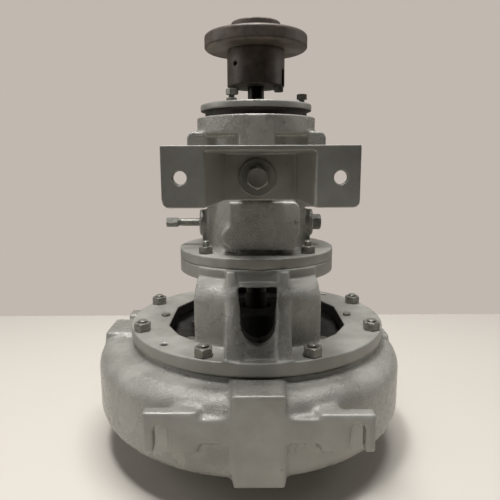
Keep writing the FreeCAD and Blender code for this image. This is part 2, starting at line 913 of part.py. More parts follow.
def casing_cover():
    """Cover that closes the chamber and holds the shaft seal."""
    body = turned(
        "cover_turned",
        [
            (s.seal_chamber_radius, cover_underside),
            (s.chamber_radius - s.register_clearance, cover_underside),
            (s.chamber_radius - s.register_clearance, register_level),
            (s.register_radius, register_level),
            (s.register_radius, casing_height),
            (s.cover_pocket_radius, casing_height),
            (s.cover_pocket_radius, cover_pocket_level),
            (s.cover_hub_radius, cover_pocket_level),
            (s.cover_hub_radius, cover_hub_height),
            (s.cover_shaft_hole, cover_hub_height),
            (s.cover_shaft_hole, seat_top),
            (s.seat_recess_radius, seat_top),
            (s.seat_recess_radius, seal_chamber_top),
            (s.seal_chamber_radius, seal_chamber_top),
        ],
    )
    hole_radius = s.cover_screw_radius + s.fit_clearance
    hole = rod("cover_screw_hole", hole_radius, 0, s.cover_screw_depth + PAST)
    holes = circle_of(
        "cover_screw_holes",
        hole,
        s.cover_screw_circle,
        COVER_SCREW_ANGLES,
        cover_pocket_level - s.cover_screw_depth,
    )
    node("casing_cover", cut("cover_drilled", body, holes))
    inner, outer = s.register_radius - s.gasket_lap, s.register_radius + s.gasket_lap
    node("casing_gasket", ring("gasket_body", inner, outer, casing_height, plate_bottom))
    seat_outer = s.seat_recess_radius - s.fit_clearance
    seat_inner = s.sleeve_radius + 0.6
    node("seal_seat", ring("seal_seat_body", seat_inner, seat_outer, seal_chamber_top, seat_top))


def adapter():
    """Cast adapter: bolting plate, domed yoke with windows, upper flange."""
    plate = rod("adapter_disc", plate_radius, plate_bottom, plate_top)
    wide, deep, corner = s.opening_half_width, s.opening_half_depth, s.opening_corner
    half = corner / 2.0
    quarter = [(wide, deep - corner * 1.5), (wide - half, deep - half), (wide - corner, deep)]
    outline = quarter + [(-x, y) for x, y in reversed(quarter)]
    outline += [(-x, -y) for x, y in quarter] + [(x, -y) for x, y in reversed(quarter)]
    opening = slab("adapter_opening", "XY_Plane", outline, plate_bottom - PAST, plate_top + PAST)
    crown = frame_base - s.yoke_crown_drop
    inner = s.yoke_radius - s.yoke_wall
    neck_top = frame_base - s.rib_head_drop
    dome_outer = turned(
        "dome_outer",
        [
            (0, plate_top - PAST),
            (s.yoke_radius, plate_top - PAST),
            (s.yoke_radius, crown),
            (s.yoke_neck_radius, crown),
            (s.yoke_neck_radius, neck_top),
            (0, neck_top),
        ],
    )
    shoulder = s.yoke_radius - s.yoke_neck_radius - PAST
    dome_outer = fillet_edges(
        "dome_outer_rounded", dome_outer, shoulder, level_circle(s.yoke_radius, crown)
    )
    inner_crown = crown - s.yoke_wall
    dome_inner = turned(
        "dome_inner",
        [(0, plate_top - 2 * PAST), (inner, plate_top - 2 * PAST), (inner, inner_crown), (0, inner_crown)],
    )
    inner_radius = shoulder - s.yoke_wall
    dome_inner = fillet_edges(
        "dome_inner_rounded", dome_inner, inner_radius, level_circle(inner, inner_crown)
    )
    width, head_width = s.yoke_half_width, s.yoke_head_half_width
    bend = frame_base - s.yoke_head_height
    keep = slab(
        "yoke_width",
        "XZ_Plane",
        [
            (-width, plate_top - PAST),
            (width, plate_top - PAST),
            (width, bend),
            (head_width, frame_base),
            (-head_width, frame_base),
            (-width, bend),
        ],
        -plate_radius,
        plate_radius,
    )
    walls = doc.addObject("Part::MultiCommon", "yoke_walls")
    walls.Shapes = [dome_outer, keep]
    flange = rod("adapter_flange", s.frame_flange_radius, adapter_flange_bottom, frame_base)
    front = front_ribs()
    body = fused("adapter_solid", walls, flange, front)
    body = cut("adapter_hollowed", body, dome_inner)
    body = fused("adapter_joined", body, cut("adapter_plate", plate, opening))
    bore_radius = s.frame_spigot_radius + s.fit_clearance
    bore = rod("adapter_bore", bore_radius, inner_crown - PAST, frame_base + PAST)
    body = cut("adapter_windowed", body, bore, *window_tools())
    node("adapter", cut("adapter_drilled", body, *adapter_holes()))


def front_ribs():
    """Two ribs that slope from the flange down to the plate rim, and the band between."""
    back = s.rib_back
    head = frame_base - s.rib_head_drop
    inner_foot, inner_head = s.rib_inner_foot, s.rib_inner_head
    fall = (s.rib_foot_reach - s.rib_head_reach) / (head - plate_top)
    pieces = []
    for side, sign in (("left", -1.0), ("right", 1.0)):
        pieces.append(
            slab(
                f"{side}_rib",
                "XZ_Plane",
                [
                    (inner_foot * sign, plate_top - PAST),
                    (s.rib_outer * sign, plate_top - PAST),
                    (s.rib_outer * sign, head),
                    (inner_head * sign, head),
                ],
                back,
                s.rib_foot_reach + PAST,
            )
        )
    ribs = cut("ribs_sloped", fused("ribs", *pieces), slope_tool("rib_slope", s.rib_foot_reach, fall, head))
    band = slab(
        "front_band",
        "YZ_Plane",
        [
            (-back, plate_top - PAST),
            (-(s.rib_foot_reach - s.band_recess), plate_top - PAST),
            (-(s.rib_foot_reach - s.band_recess), plate_top),
            (-(s.rib_head_reach - s.band_recess), head),
            (-back, head),
        ],
        -s.rib_inner_head,
        s.rib_inner_head,
    )
    return fused("front_casting", ribs, band)


def slope_tool(name, foot, fall, head):
    """Everything in front of the sloping face of the ribs."""
    wide = s.rib_outer + PAST
    rise = head - plate_top
    return slab(
        name,
        "YZ_Plane",
        [
            (-foot, plate_top),
            (-(foot - fall * rise), head),
            (-(foot - fall * (rise + 2 * PAST)), head + 2 * PAST),
            (-(foot + 3 * PAST), head + 2 * PAST),
            (-(foot + 3 * PAST), plate_top - 2 * PAST),
            (-foot, plate_top - 2 * PAST),
        ],
        -wide,
        wide,
    )


def window_tools():
    """The round-bottomed front window between the ribs."""
    bottom = plate_top + s.window_bottom
    centre = bottom + s.window_radius
    top = plate_top + s.window_top
    panel = slab(
        "window_panel",
        "XZ_Plane",
        [
            (-s.window_radius, centre),
            (s.window_radius, centre),
            (s.window_head_half_width, top),
            (-s.window_head_half_width, top),
        ],
        s.window_back,
        s.rib_foot_reach + 2 * PAST,
    )
    front = -(s.rib_foot_reach + 2 * PAST)
    foot = rod("window_foot", s.window_radius, front, -s.window_back, "Y", 0, centre)
    return panel, foot


def adapter_holes():
    """Stud, jack screw and jack bolt holes of the adapter."""
    depth = s.plate_thickness + 2 * PAST
    stud_hole = rod("plate_stud_hole", s.stud_radius + s.bolt_clearance, 0, depth)
    jack_hole = rod("plate_jack_hole", s.jack_hole_radius, 0, depth)
    screw_hole = rod("plate_screw_hole", s.jack_screw_radius + s.fit_clearance, 0, depth)
    frame_hole = rod(
        "flange_stud_hole",
        s.frame_stud_radius + s.fit_clearance,
        0,
        s.adapter_flange_thickness + PAST,
    )
    low = plate_bottom - PAST
    return (
        circle_of("plate_stud_holes", stud_hole, stud_circle, STUD_ANGLES, low),
        circle_of("plate_jack_holes", jack_hole, s.jack_hole_circle, JACK_HOLE_ANGLES, low),
        circle_of("plate_screw_holes", screw_hole, s.jack_screw_offset, (0.0, 180.0), low),
        circle_of(
            "flange_stud_holes",
            frame_hole,
            s.frame_stud_circle,
            FRAME_STUD_ANGLES,
            adapter_flange_bottom,
        ),
    )


def hex_nut(name, flats, height, hole):
    """A plain hexagon nut, made on the axis."""
    body = hex_bar(f"{name}_hexagon", flats, 0, height, turn=30.0)
    return cut(name, body, rod(f"{name}_thread", hole, -PAST, height + PAST))


def hex_screw(name, flats, head, radius, length):
    """A hexagon screw with its head above zero and its shank below."""
    top = hex_bar(f"{name}_head", flats, 0, head, turn=15.0)
    return fused(name, top, rod(f"{name}_shank", radius, -as_size(length), head / 2.0))


def casing_fasteners():
    """Studs and nuts that clamp the adapter, its jack screws and the cover screws."""
    bottom = casing_height - s.stud_embed
    stud = rod("casing_stud", s.stud_radius, 0, plate_top + s.stud_top - bottom)
    node("casing_studs", circle_of("casing_stud", stud, stud_circle, STUD_ANGLES, bottom))
    nut = hex_nut("casing_nut", s.nut_flats, s.nut_height, s.stud_radius + s.fit_clearance)
    node("casing_nuts", circle_of("casing_nut", nut, stud_circle, STUD_ANGLES, plate_top))
    jack = hex_screw(
        "jack_screw", s.jack_screw_flats, s.jack_screw_head, s.jack_screw_radius, s.plate_thickness
    )
    node("jack_screws", circle_of("jack_screw", jack, s.jack_screw_offset, (0.0, 180.0), plate_top))
    screw = hex_screw(
        "cover_screw",
        s.cover_screw_flats,
        s.cover_screw_head,
        s.cover_screw_radius,
        s.cover_screw_depth,
    )
    level = cover_pocket_level
    node(
        "cover_cap_screws",
        circle_of("cover_screw", screw, s.cover_screw_circle, COVER_SCREW_ANGLES, level),
    )


def frame_fasteners():
    """Studs and nuts between the adapter and the bearing frame."""
    length = s.adapter_flange_thickness + s.frame_flange_thickness + s.frame_stud_top
    stud = rod("frame_stud", s.frame_stud_radius, 0, length)
    circle = s.frame_stud_circle
    low = adapter_flange_bottom
    node("frame_studs", circle_of("frame_stud", stud, circle, FRAME_STUD_ANGLES, low))
    hole = s.frame_stud_radius + s.fit_clearance
    nut = hex_nut("frame_nut", s.frame_nut_flats, s.frame_nut_height, hole)
    node("frame_nuts", circle_of("frame_nut", nut, circle, FRAME_STUD_ANGLES, frame_flange_top))


def bearing_frame():
    """Cast bearing housing with its sump box, ears, ribs and bosses."""
    spigot_bottom = frame_base - s.frame_spigot_depth
    outside = turned(
        "frame_turned",
        [
            (0, spigot_bottom),
            (s.frame_spigot_radius, spigot_bottom),
            (s.frame_spigot_radius, frame_base),
            (s.frame_flange_radius, frame_base),
            (s.frame_flange_radius, frame_flange_top),
            (s.barrel_radius, frame_flange_top),
            (s.barrel_radius, ring_bottom),
            (s.frame_ring_radius, ring_bottom),
            (s.frame_ring_radius, frame_top),
            (0, frame_top),
        ],
    )
    bearing_bore = s.bearing_outer_radius + s.fit_clearance
    seal_bore = s.inboard_seal_radius + s.fit_clearance
    inboard_top = inboard_bearing_level + s.bearing_width + 6.0
    outboard_bottom = outboard_bearing_level - 6.0
    seal_top = frame_base + s.lip_seal_height
    hollow = turned(
        "frame_hollow",
        [
            (0, spigot_bottom - PAST),
            (seal_bore, spigot_bottom - PAST),
            (seal_bore, seal_top),
            (s.shaft_middle_radius, seal_top),
            (s.shaft_middle_radius, inboard_bearing_level - 6.0),
            (bearing_bore - 6.0, inboard_bearing_level - 6.0),
            (bearing_bore - 6.0, inboard_bearing_level),
            (bearing_bore, inboard_bearing_level),
            (bearing_bore, inboard_top),
            (s.frame_cavity_radius, inboard_top),
            (s.frame_cavity_radius, outboard_bottom),
            (bearing_bore, outboard_bottom),
            (bearing_bore, frame_top + PAST),
            (0, frame_top + PAST),
        ],
    )
    body = fused("frame_cast", outside, *frame_features())
    stud_hole = rod(
        "frame_stud_hole",
        s.frame_stud_radius + s.bolt_clearance,
        0,
        s.frame_flange_thickness + 2 * PAST,
    )
    stud_holes = circle_of(
        "frame_stud_holes", stud_hole, s.frame_stud_circle, FRAME_STUD_ANGLES, frame_base - PAST
    )
    end_radius = s.end_bolt_radius + s.fit_clearance
    end_hole = rod("frame_end_hole", end_radius, 0, s.end_bolt_embed + 2 * PAST)
    end_low = frame_top - s.end_bolt_embed - PAST
    end_holes = circle_of("frame_end_holes", end_hole, s.end_bolt_circle, END_BOLT_ANGLES, end_low)
    bolt_level = foot_bottom + s.foot_bolt_rise
    seat = s.foot_seat_reach - s.foot_thickness
    bolt_hole = rod(
        "frame_foot_hole",
        s.foot_bolt_radius + s.fit_clearance,
        -(seat + PAST),
        -(s.foot_seat_reach + s.foot_washer_thickness - s.foot_bolt_length - PAST),
        "Y",
        0,
        bolt_level,
    )
    boss_level = frame_base + s.side_boss_level
    left_hole = rod(
        "frame_nipple_hole",
        s.nipple_radius + s.fit_clearance,
        -(s.side_boss_reach + PAST),
        -(s.side_boss_reach - s.side_boss_hole_depth),
        "X",
        0,
        boss_level,
    )
    right_hole = rod(
        "frame_plug_hole",
        s.plug_thread_radius + s.fit_clearance,
        s.side_boss_reach - s.side_boss_hole_depth,
        s.side_boss_reach + PAST,
        "X",
        0,
        boss_level,
    )
    faces = [
        rod(f"frame_boss_face_{k}", s.side_boss_face_radius, start, end, "X", 0, boss_level)
        for k, (start, end) in enumerate(
            ((-(s.ear_reach + PAST), -s.side_boss_reach), (s.side_boss_reach, s.ear_reach + PAST))
        )
    ]
    body = cut("frame_bored", body, hollow)
    body = cut(
        "frame_drilled", body, stud_holes, end_holes, bolt_hole, left_hole, right_hole, *faces
    )
    node("bearing_frame", body)


def frame_features():
    """Ribs, sump box, ears and bosses that are cast on the barrel."""
    rib = s.frame_rib_half_width
    middle_rib = doc.addObject("Part::MultiCommon", "frame_middle_rib")
    middle_rib.Shapes = [
        rod("frame_rib_round", s.frame_ring_radius, frame_flange_top, ring_bottom + PAST),
        block(
            "frame_rib_width",
            (-rib, rib),
            (-s.frame_ring_radius, -s.frame_rib_back),
            (frame_flange_top - PAST, frame_top),
        ),
    ]
    sump_bottom = frame_flange_top + s.sump_rise
    sump_step = frame_flange_top + s.sump_step_rise
    sump_top = frame_flange_top + s.sump_height
    sump = slab(
        "frame_sump_box",
        "XZ_Plane",
        [
            (-s.sump_left, sump_bottom),
            (s.sump_right_foot, sump_bottom),
            (s.sump_right, sump_step),
            (s.sump_right, sump_top),
            (-s.sump_left, sump_top),
        ],
        s.sump_back,
        s.sump_reach,
    )

    def sump_corner(edge):
        middle = edge.CenterOfMass
        return near(middle.x, s.sump_right) and near(middle.z, sump_top)

    sump = fillet_edges("frame_sump_rounded", sump, s.sump_corner, sump_corner)
    drain_boss = rod(
        "frame_drain_boss",
        s.drain_boss_radius,
        -s.sump_reach,
        -s.sump_back,
        "Y",
        -s.drain_boss_offset,
        frame_flange_top + s.drain_boss_rise,
    )
    boss_level = frame_base + s.side_boss_level
    reach = s.side_boss_reach
    side_foot = reach - s.side_boss_foot_inset
    foot_boss_end = -(s.foot_seat_reach - s.foot_thickness)
    pieces = [
        middle_rib,
        sump,
        drain_boss,
        rod(
            "frame_foot_boss",
            s.foot_boss_radius,
            foot_boss_end,
            -s.foot_boss_back,
            "Y",
            0,
            foot_bottom + s.foot_bolt_rise,
        ),
        rod("frame_side_boss", s.side_boss_radius, -reach, reach, "X", 0, boss_level),
        block(
            "frame_side_boss_foot",
            (-side_foot, side_foot),
            (-s.side_boss_foot_half_depth, s.side_boss_foot_half_depth),
            (frame_flange_top - PAST, boss_level),
        ),
    ]
    ear_top = frame_base + s.ear_top
    for side, sign in (("left", -1.0), ("right", 1.0)):
        ear = slab(
            f"frame_{side}_ear",
            "XZ_Plane",
            [
                (s.ear_inner * sign, frame_base + s.ear_foot),
                (s.ear_foot_reach * sign, frame_base + s.ear_foot),
                (s.ear_reach * sign, ear_top - s.ear_straight),
                (s.ear_reach * sign, ear_top),
                (s.ear_inner * sign, ear_top),
            ],
            -s.ear_half_depth,
            s.ear_half_depth,
        )

        def ear_corner(edge, side_sign=sign):
            middle = edge.CenterOfMass
            return near(middle.x, s.ear_reach * side_sign) and near(middle.z, ear_top)

        pieces.append(fillet_edges(f"frame_{side}_ear_rounded", ear, s.ear_corner, ear_corner))
    return pieces


def frame_fittings():
    """Grease nipple pipe with its square cap, and the opposite pipe plug."""
    level = frame_base + s.side_boss_level
    reach = s.side_boss_reach
    seat = reach - s.side_thread_length
    pipe = rod("nipple_pipe", s.nipple_radius, -s.nipple_reach, -seat, "X", 0, level)
    inside = s.nipple_radius - s.nipple_wall
    hole = rod("nipple_hole", inside, -(s.nipple_reach + PAST), -(seat - PAST), "X", 0, level)
    node("pipe_nipple", cut("nipple_cut", pipe, hole))
    cap = hex_bar("cap_square", s.cap_width, -s.cap_end, -s.cap_start, "X", 0, level, 45.0, 4)
    cap_hole = rod(
        "cap_socket",
        s.nipple_radius + s.fit_clearance,
        -s.nipple_reach,
        -(s.cap_start - PAST),
        "X",
        0,
        level,
    )
    node("pipe_cap", cut("cap_cut", cap, cap_hole))
    head = hex_bar("plug_head", s.plug_flats, reach, s.plug_reach, "X", 0, level, 0.0)
    thread = rod("plug_thread", s.plug_thread_radius, seat, reach + PAST, "X", 0, level)
    node("frame_plug", fused("plug_body", head, thread))


def support_foot():
    """Bent plate foot: two flanges with holes, sloping webs, a seat and a top shelf."""
    front = -s.foot_plane
    back = front + s.foot_thickness
    seat_front = -s.foot_seat_reach
    seat_back = seat_front + s.foot_thickness
    skew = s.foot_thickness * 0.9
    top = foot_bottom + s.foot_height
    hat = slab(
        "foot_hat",
        "XY_Plane",
        [
            (-s.foot_left, front),
            (-s.foot_bend_left, front),
            (-s.foot_seat_left, seat_front),
            (s.foot_seat_right, seat_front),
            (s.foot_bend_right, front),
            (s.foot_right, front),
            (s.foot_right, back),
            (s.foot_bend_right + skew, back),
            (s.foot_seat_right + skew, seat_back),
            (-(s.foot_seat_left + skew), seat_back),
            (-(s.foot_bend_left + skew), back),
            (-s.foot_left, back),
        ],
        foot_bottom,
        top,
    )

    def flange_corner(edge):
        middle = edge.CenterOfMass
        at_end = near(middle.x, -s.foot_left) or near(middle.x, s.foot_right)
        return at_end and near(middle.z, foot_bottom)

    hat = fillet_edges("foot_rounded", hat, s.foot_corner, flange_corner)
    shelf = slab(
        "foot_shelf",
        "XY_Plane",
        [
            (-s.foot_bend_left - 1.0, front),
            (s.foot_bend_right + 1.0, front),
            (s.foot_seat_right + 1.0, seat_front + 1.0),
            (-s.foot_seat_left - 1.0, seat_front + 1.0),
        ],
        top - s.foot_shelf_thickness,
        top,
    )
    hole_level = foot_bottom + s.foot_hole_rise
    bolt_level = foot_bottom + s.foot_bolt_rise
    holes = [
        rod(f"foot_hole_{k}", s.foot_hole_radius, front - PAST, back + PAST, "Y", x, hole_level)
        for k, x in enumerate((-s.foot_hole_left, s.foot_hole_right))
    ]
    bolt_hole = s.foot_bolt_radius + s.bolt_clearance
    holes.append(
        rod("foot_bolt_hole", bolt_hole, seat_front - PAST, seat_back + PAST, "Y", 0, bolt_level)
    )
    node("support_foot", cut("foot_drilled", fused("foot_plate", hat, shelf), *holes))
    washer_front = seat_front - s.foot_washer_thickness
    washer = rod("washer_disc", s.foot_washer_radius, washer_front, seat_front, "Y", 0, bolt_level)
    washer_hole = rod(
        "washer_hole", bolt_hole, washer_front - PAST, seat_front + PAST, "Y", 0, bolt_level
    )
    node("foot_washer", cut("washer_cut", washer, washer_hole))
    head_front = washer_front - s.foot_bolt_head
    head = hex_bar(
        "foot_bolt_hexagon", s.foot_bolt_flats, head_front, washer_front, "Y", 0, bolt_level, 30.0
    )
    shank_end = washer_front + s.foot_bolt_length
    shank = rod(
        "foot_bolt_shank", s.foot_bolt_radius, washer_front - PAST, shank_end, "Y", 0, bolt_level
    )
    node("foot_bolt", fused("foot_bolt_body", head, shank))


def bearing_cover():
    """Round end cover with its spigot, gasket, lip seal and three bolts."""
    spigot = s.bearing_outer_radius
    race_top = outboard_bearing_level + s.bearing_width
    seal_bottom = end_disc_top - s.lip_seal_height
    cavity_top = end_neck_bottom + s.end_cavity_depth
    body = turned(
        "end_cover_turned",
        [
            (s.end_cavity_radius, race_top),
            (spigot, race_top),
            (spigot, end_neck_bottom),
            (s.end_neck_radius, end_neck_bottom),
            (s.end_neck_radius, end_disc_bottom),
            (s.end_disc_radius, end_disc_bottom),
            (s.end_disc_radius, end_disc_top),
            (s.outboard_seal_radius + s.fit_clearance, end_disc_top),
            (s.outboard_seal_radius + s.fit_clearance, seal_bottom),
            (s.outboard_seal_radius - 3.0, seal_bottom),
            (s.outboard_seal_radius - 3.0, cavity_top),
            (s.end_cavity_radius, cavity_top),
        ],
    )
    depth = s.end_neck_height + s.end_disc_thickness + 2 * PAST
    hole = rod("end_cover_hole", s.end_bolt_radius + s.bolt_clearance, 0, depth)
    holes = circle_of(
        "end_cover_holes", hole, s.end_bolt_circle, END_BOLT_ANGLES, end_neck_bottom - PAST
    )
    node("bearing_cover", cut("end_cover_drilled", body, holes))
    gasket = ring("end_gasket_ring", spigot + 1.0, s.end_neck_radius - 1.0, frame_top, end_neck_bottom)
    gasket_hole = rod("end_gasket_hole", s.end_bolt_radius + s.bolt_clearance, 0, 3 * PAST)
    gasket_holes = circle_of(
        "end_gasket_holes", gasket_hole, s.end_bolt_circle, END_BOLT_ANGLES, frame_top - PAST
    )
    node("end_gasket", cut("end_gasket_cut", gasket, gasket_holes))
    seal_outer = s.outboard_seal_radius
    seal_inner = s.shaft_end_radius + s.fit_clearance
    node(
        "outboard_lip_seal",
        ring("outboard_seal_body", seal_inner, seal_outer, seal_bottom, end_disc_top),
    )
    shank = s.end_bolt_standoff + s.end_disc_thickness + s.end_neck_height
    shank = shank + s.end_gasket_thickness + s.end_bolt_embed
    bolt = hex_screw("end_bolt", s.end_bolt_flats, s.end_bolt_head, s.end_bolt_radius, shank)
    level = end_disc_top + s.end_bolt_standoff
    node("cover_bolts", circle_of("end_bolt", bolt, s.end_bolt_circle, END_BOLT_ANGLES, level))
    nut = hex_nut("jam_nut", s.end_bolt_flats, s.jam_nut_height, s.end_bolt_radius + s.fit_clearance)
    x, y = polar(s.end_bolt_circle, END_BOLT_ANGLES[2])
    node("cover_jam_nut", place(nut, x, y, end_disc_top))


def bearing(name, bottom):
    """One deep-groove ball bearing: two races, its balls and their cage."""
    top = bottom + s.bearing_width
    middle = bottom + s.bearing_width / 2.0
    pitch = (s.bearing_bore_radius + s.bearing_outer_radius) / 2.0
    groove = s.ball_radius + s.ball_clearance
    outer = ring(f"{name}_outer_ring", pitch + s.race_gap, s.bearing_outer_radius, bottom, top)
    inner = ring(f"{name}_inner_ring", s.bearing_bore_radius, pitch - s.race_gap, bottom, top)
    for side, race in (("outer", outer), ("inner", inner)):
        add_track(race, f"{name}_{side}_track", pitch, middle, groove)
        node(f"{name}_{side}_race", race)
    angles = [360.0 * k / BALLS for k in range(BALLS)]
    ball = doc.addObject("Part::Sphere", f"{name}_ball")
    bind(ball, "Radius", s.ball_radius)
    node(f"{name}_balls", circle_of(f"{name}_ball", ball, pitch, angles, middle))
    half = s.cage_half_wall
    low = middle - s.cage_height / 2.0
    band = ring(f"{name}_cage_ring", pitch - half, pitch + half, low, low + s.cage_height)
    pockets = [
        across_axis(
            f"{name}_pocket_{k}", s.ball_radius + s.ball_clearance, pitch + half + PAST, angle, middle
        )
        for k, angle in enumerate(angles[: BALLS // 2])
    ]
    node(f"{name}_cage", cut(f"{name}_cage_cut", band, *pockets))


def add_track(race, name, pitch, level, radius):
    """Turns the round ball track into a race."""
    sketch = sketch_on(race, f"{name}_outline", "XZ_Plane")
    circle = Part.Circle(vector(pitch.value, level.value, 0), vector(0, 0, 1), radius.value)
    index = sketch.addGeometry(circle, False)
    for kind, size in (("DistanceX", pitch), ("DistanceY", level)):
        rule = sketch.addConstraint(Sketcher.Constraint(kind, -1, 1, index, 3, size.value))
        bind(sketch, f"Constraints[{rule}]", size)
    rule = sketch.addConstraint(Sketcher.Constraint("Radius", index, radius.value))
    bind(sketch, f"Constraints[{rule}]", radius)
    track = race.newObject("PartDesign::Groove", name)
    track.Profile = sketch
    track.ReferenceAxis = (sketch, ["V_Axis"])
    track.Angle = 360.0


def across_axis(name, radius, reach, angle, level):
    """A bar through the shaft axis at a level, from rim to rim at an angle."""
    item = doc.addObject("Part::Cylinder", name)
    bind(item, "Radius", radius)
    bind(item, "Height", reach * 2.0)
    x, y = polar(reach, angle + 180.0)
    ahead = polar(1.0, angle)
    return place(item, x, y, level, FreeCAD.Rotation(vector(0, 0, 1), vector(*ahead, 0)))


def shaft():
    """Stepped shaft with two keyways and the tapped hole for the impeller screw."""
    inboard_top = inboard_bearing_level + s.bearing_width
    outboard_top = outboard_bearing_level + s.bearing_width
    thread_top = outboard_top + s.lock_washer_thickness + s.lock_nut_height
    body = turned(
        "shaft_turned",
        [
            (0, shaft_bottom),
            (s.shaft_seat_radius, shaft_bottom),
            (s.shaft_seat_radius, sleeve_top),
            (s.shaft_seal_radius, sleeve_top),
            (s.shaft_seal_radius, inboard_bearing_level - 2.0),
            (s.bearing_bore_radius, inboard_bearing_level - 2.0),
            (s.bearing_bore_radius, inboard_top),
            (s.shaft_middle_radius, inboard_top),
            (s.shaft_middle_radius, outboard_bearing_level),
            (s.bearing_bore_radius, outboard_bearing_level),
            (s.bearing_bore_radius, outboard_top),
            (s.thread_radius, outboard_top),
            (s.thread_radius, thread_top),
            (s.shaft_end_radius, thread_top),
            (s.shaft_end_radius, shaft_top),
            (0, shaft_top),
        ],
    )
    screw_hole = rod(
        "shaft_screw_hole",
        s.impeller_screw_radius + s.fit_clearance,
        shaft_bottom - PAST,
        shaft_bottom + s.impeller_screw_length + PAST,
    )
    key_ways = [
        key_block("impeller_keyway", s.shaft_seat_radius, impeller_key_bottom(), s.impeller_key_length),
        key_block("coupling_keyway", s.shaft_end_radius, coupling_key_bottom(), s.coupling_key_length),
    ]
    node("shaft", cut("shaft_cut", body, screw_hole, *key_ways))


def impeller_key_bottom():
    """Level where the impeller key starts."""
    return shaft_bottom + 4.0


def coupling_key_bottom():
    """Level where the coupling key starts."""
    return hub_bottom + 4.0


def key_block(name, shaft_radius, bottom, length):
    """The room of a square key that stands half in its shaft, on the +Y side."""
    half = s.key_width / 2.0
    return block(name, (-half, half), (shaft_radius - half, shaft_radius + half), (bottom, bottom + length))


def keys():
    """The two square keys."""
    node(
        "impeller_key",
        key_block("impeller_key_bar", s.shaft_seat_radius, impeller_key_bottom(), s.impeller_key_length),
    )
    node(
        "coupling_key",
        key_block("coupling_key_bar", s.shaft_end_radius, coupling_key_bottom(), s.coupling_key_length),
    )


def vane_sketch(sketch):
    """One single-arc vane between two circles, concentric faces and short straight ends."""
    offset = s.vane_centre_offset
    centre = vector(offset.value, 0, 0)
    circles = (s.vane_inlet_radius, s.impeller_radius)
    for size in circles:
        circle = Part.Circle(vector(0, 0, 0), vector(0, 0, 1), size.value)
        index = sketch.addGeometry(circle, True)
        sketch.addConstraint(Sketcher.Constraint("Coincident", index, 3, -1, 1))
        rule = sketch.addConstraint(Sketcher.Constraint("Radius", index, size.value))
        bind(sketch, f"Constraints[{rule}]", size)
    half = s.vane_thickness / 2.0
    ends = []
    for face in (s.vane_arc_radius - half, s.vane_arc_radius + half):
        points = [vane_point(size.value, offset.value, face.value) for size in circles]
        angles = [math.atan2(p.y, p.x - offset.value) for p in points]
        arc = Part.ArcOfCircle(Part.Circle(centre, vector(0, 0, 1), face.value), *angles)
        index = sketch.addGeometry(arc, False)
        rule = sketch.addConstraint(Sketcher.Constraint("Radius", index, face.value))
        bind(sketch, f"Constraints[{rule}]", face)
        rule = sketch.addConstraint(Sketcher.Constraint("DistanceX", -1, 1, index, 3, offset.value))
        bind(sketch, f"Constraints[{rule}]", offset)
        sketch.addConstraint(Sketcher.Constraint("PointOnObject", index, 3, -1))
        sketch.addConstraint(Sketcher.Constraint("PointOnObject", index, 1, 0))
        sketch.addConstraint(Sketcher.Constraint("PointOnObject", index, 2, 1))
        ends.append((index, points))
    (inner, inner_points), (outer, outer_points) = ends
    for which in (0, 1):
        line = Part.LineSegment(inner_points[which], outer_points[which])
        index = sketch.addGeometry(line, False)
        sketch.addConstraint(Sketcher.Constraint("Coincident", index, 1, inner, which + 1))
        sketch.addConstraint(Sketcher.Constraint("Coincident", index, 2, outer, which + 1))


def vane_point(radius, offset, face):
    """Where a vane face crosses a circle about the shaft axis."""
    cosine = (radius**2 + offset**2 - face**2) / (2.0 * radius * offset)
    angle = -math.acos(cosine)
    return vector(radius * math.cos(angle), radius * math.sin(angle), 0)


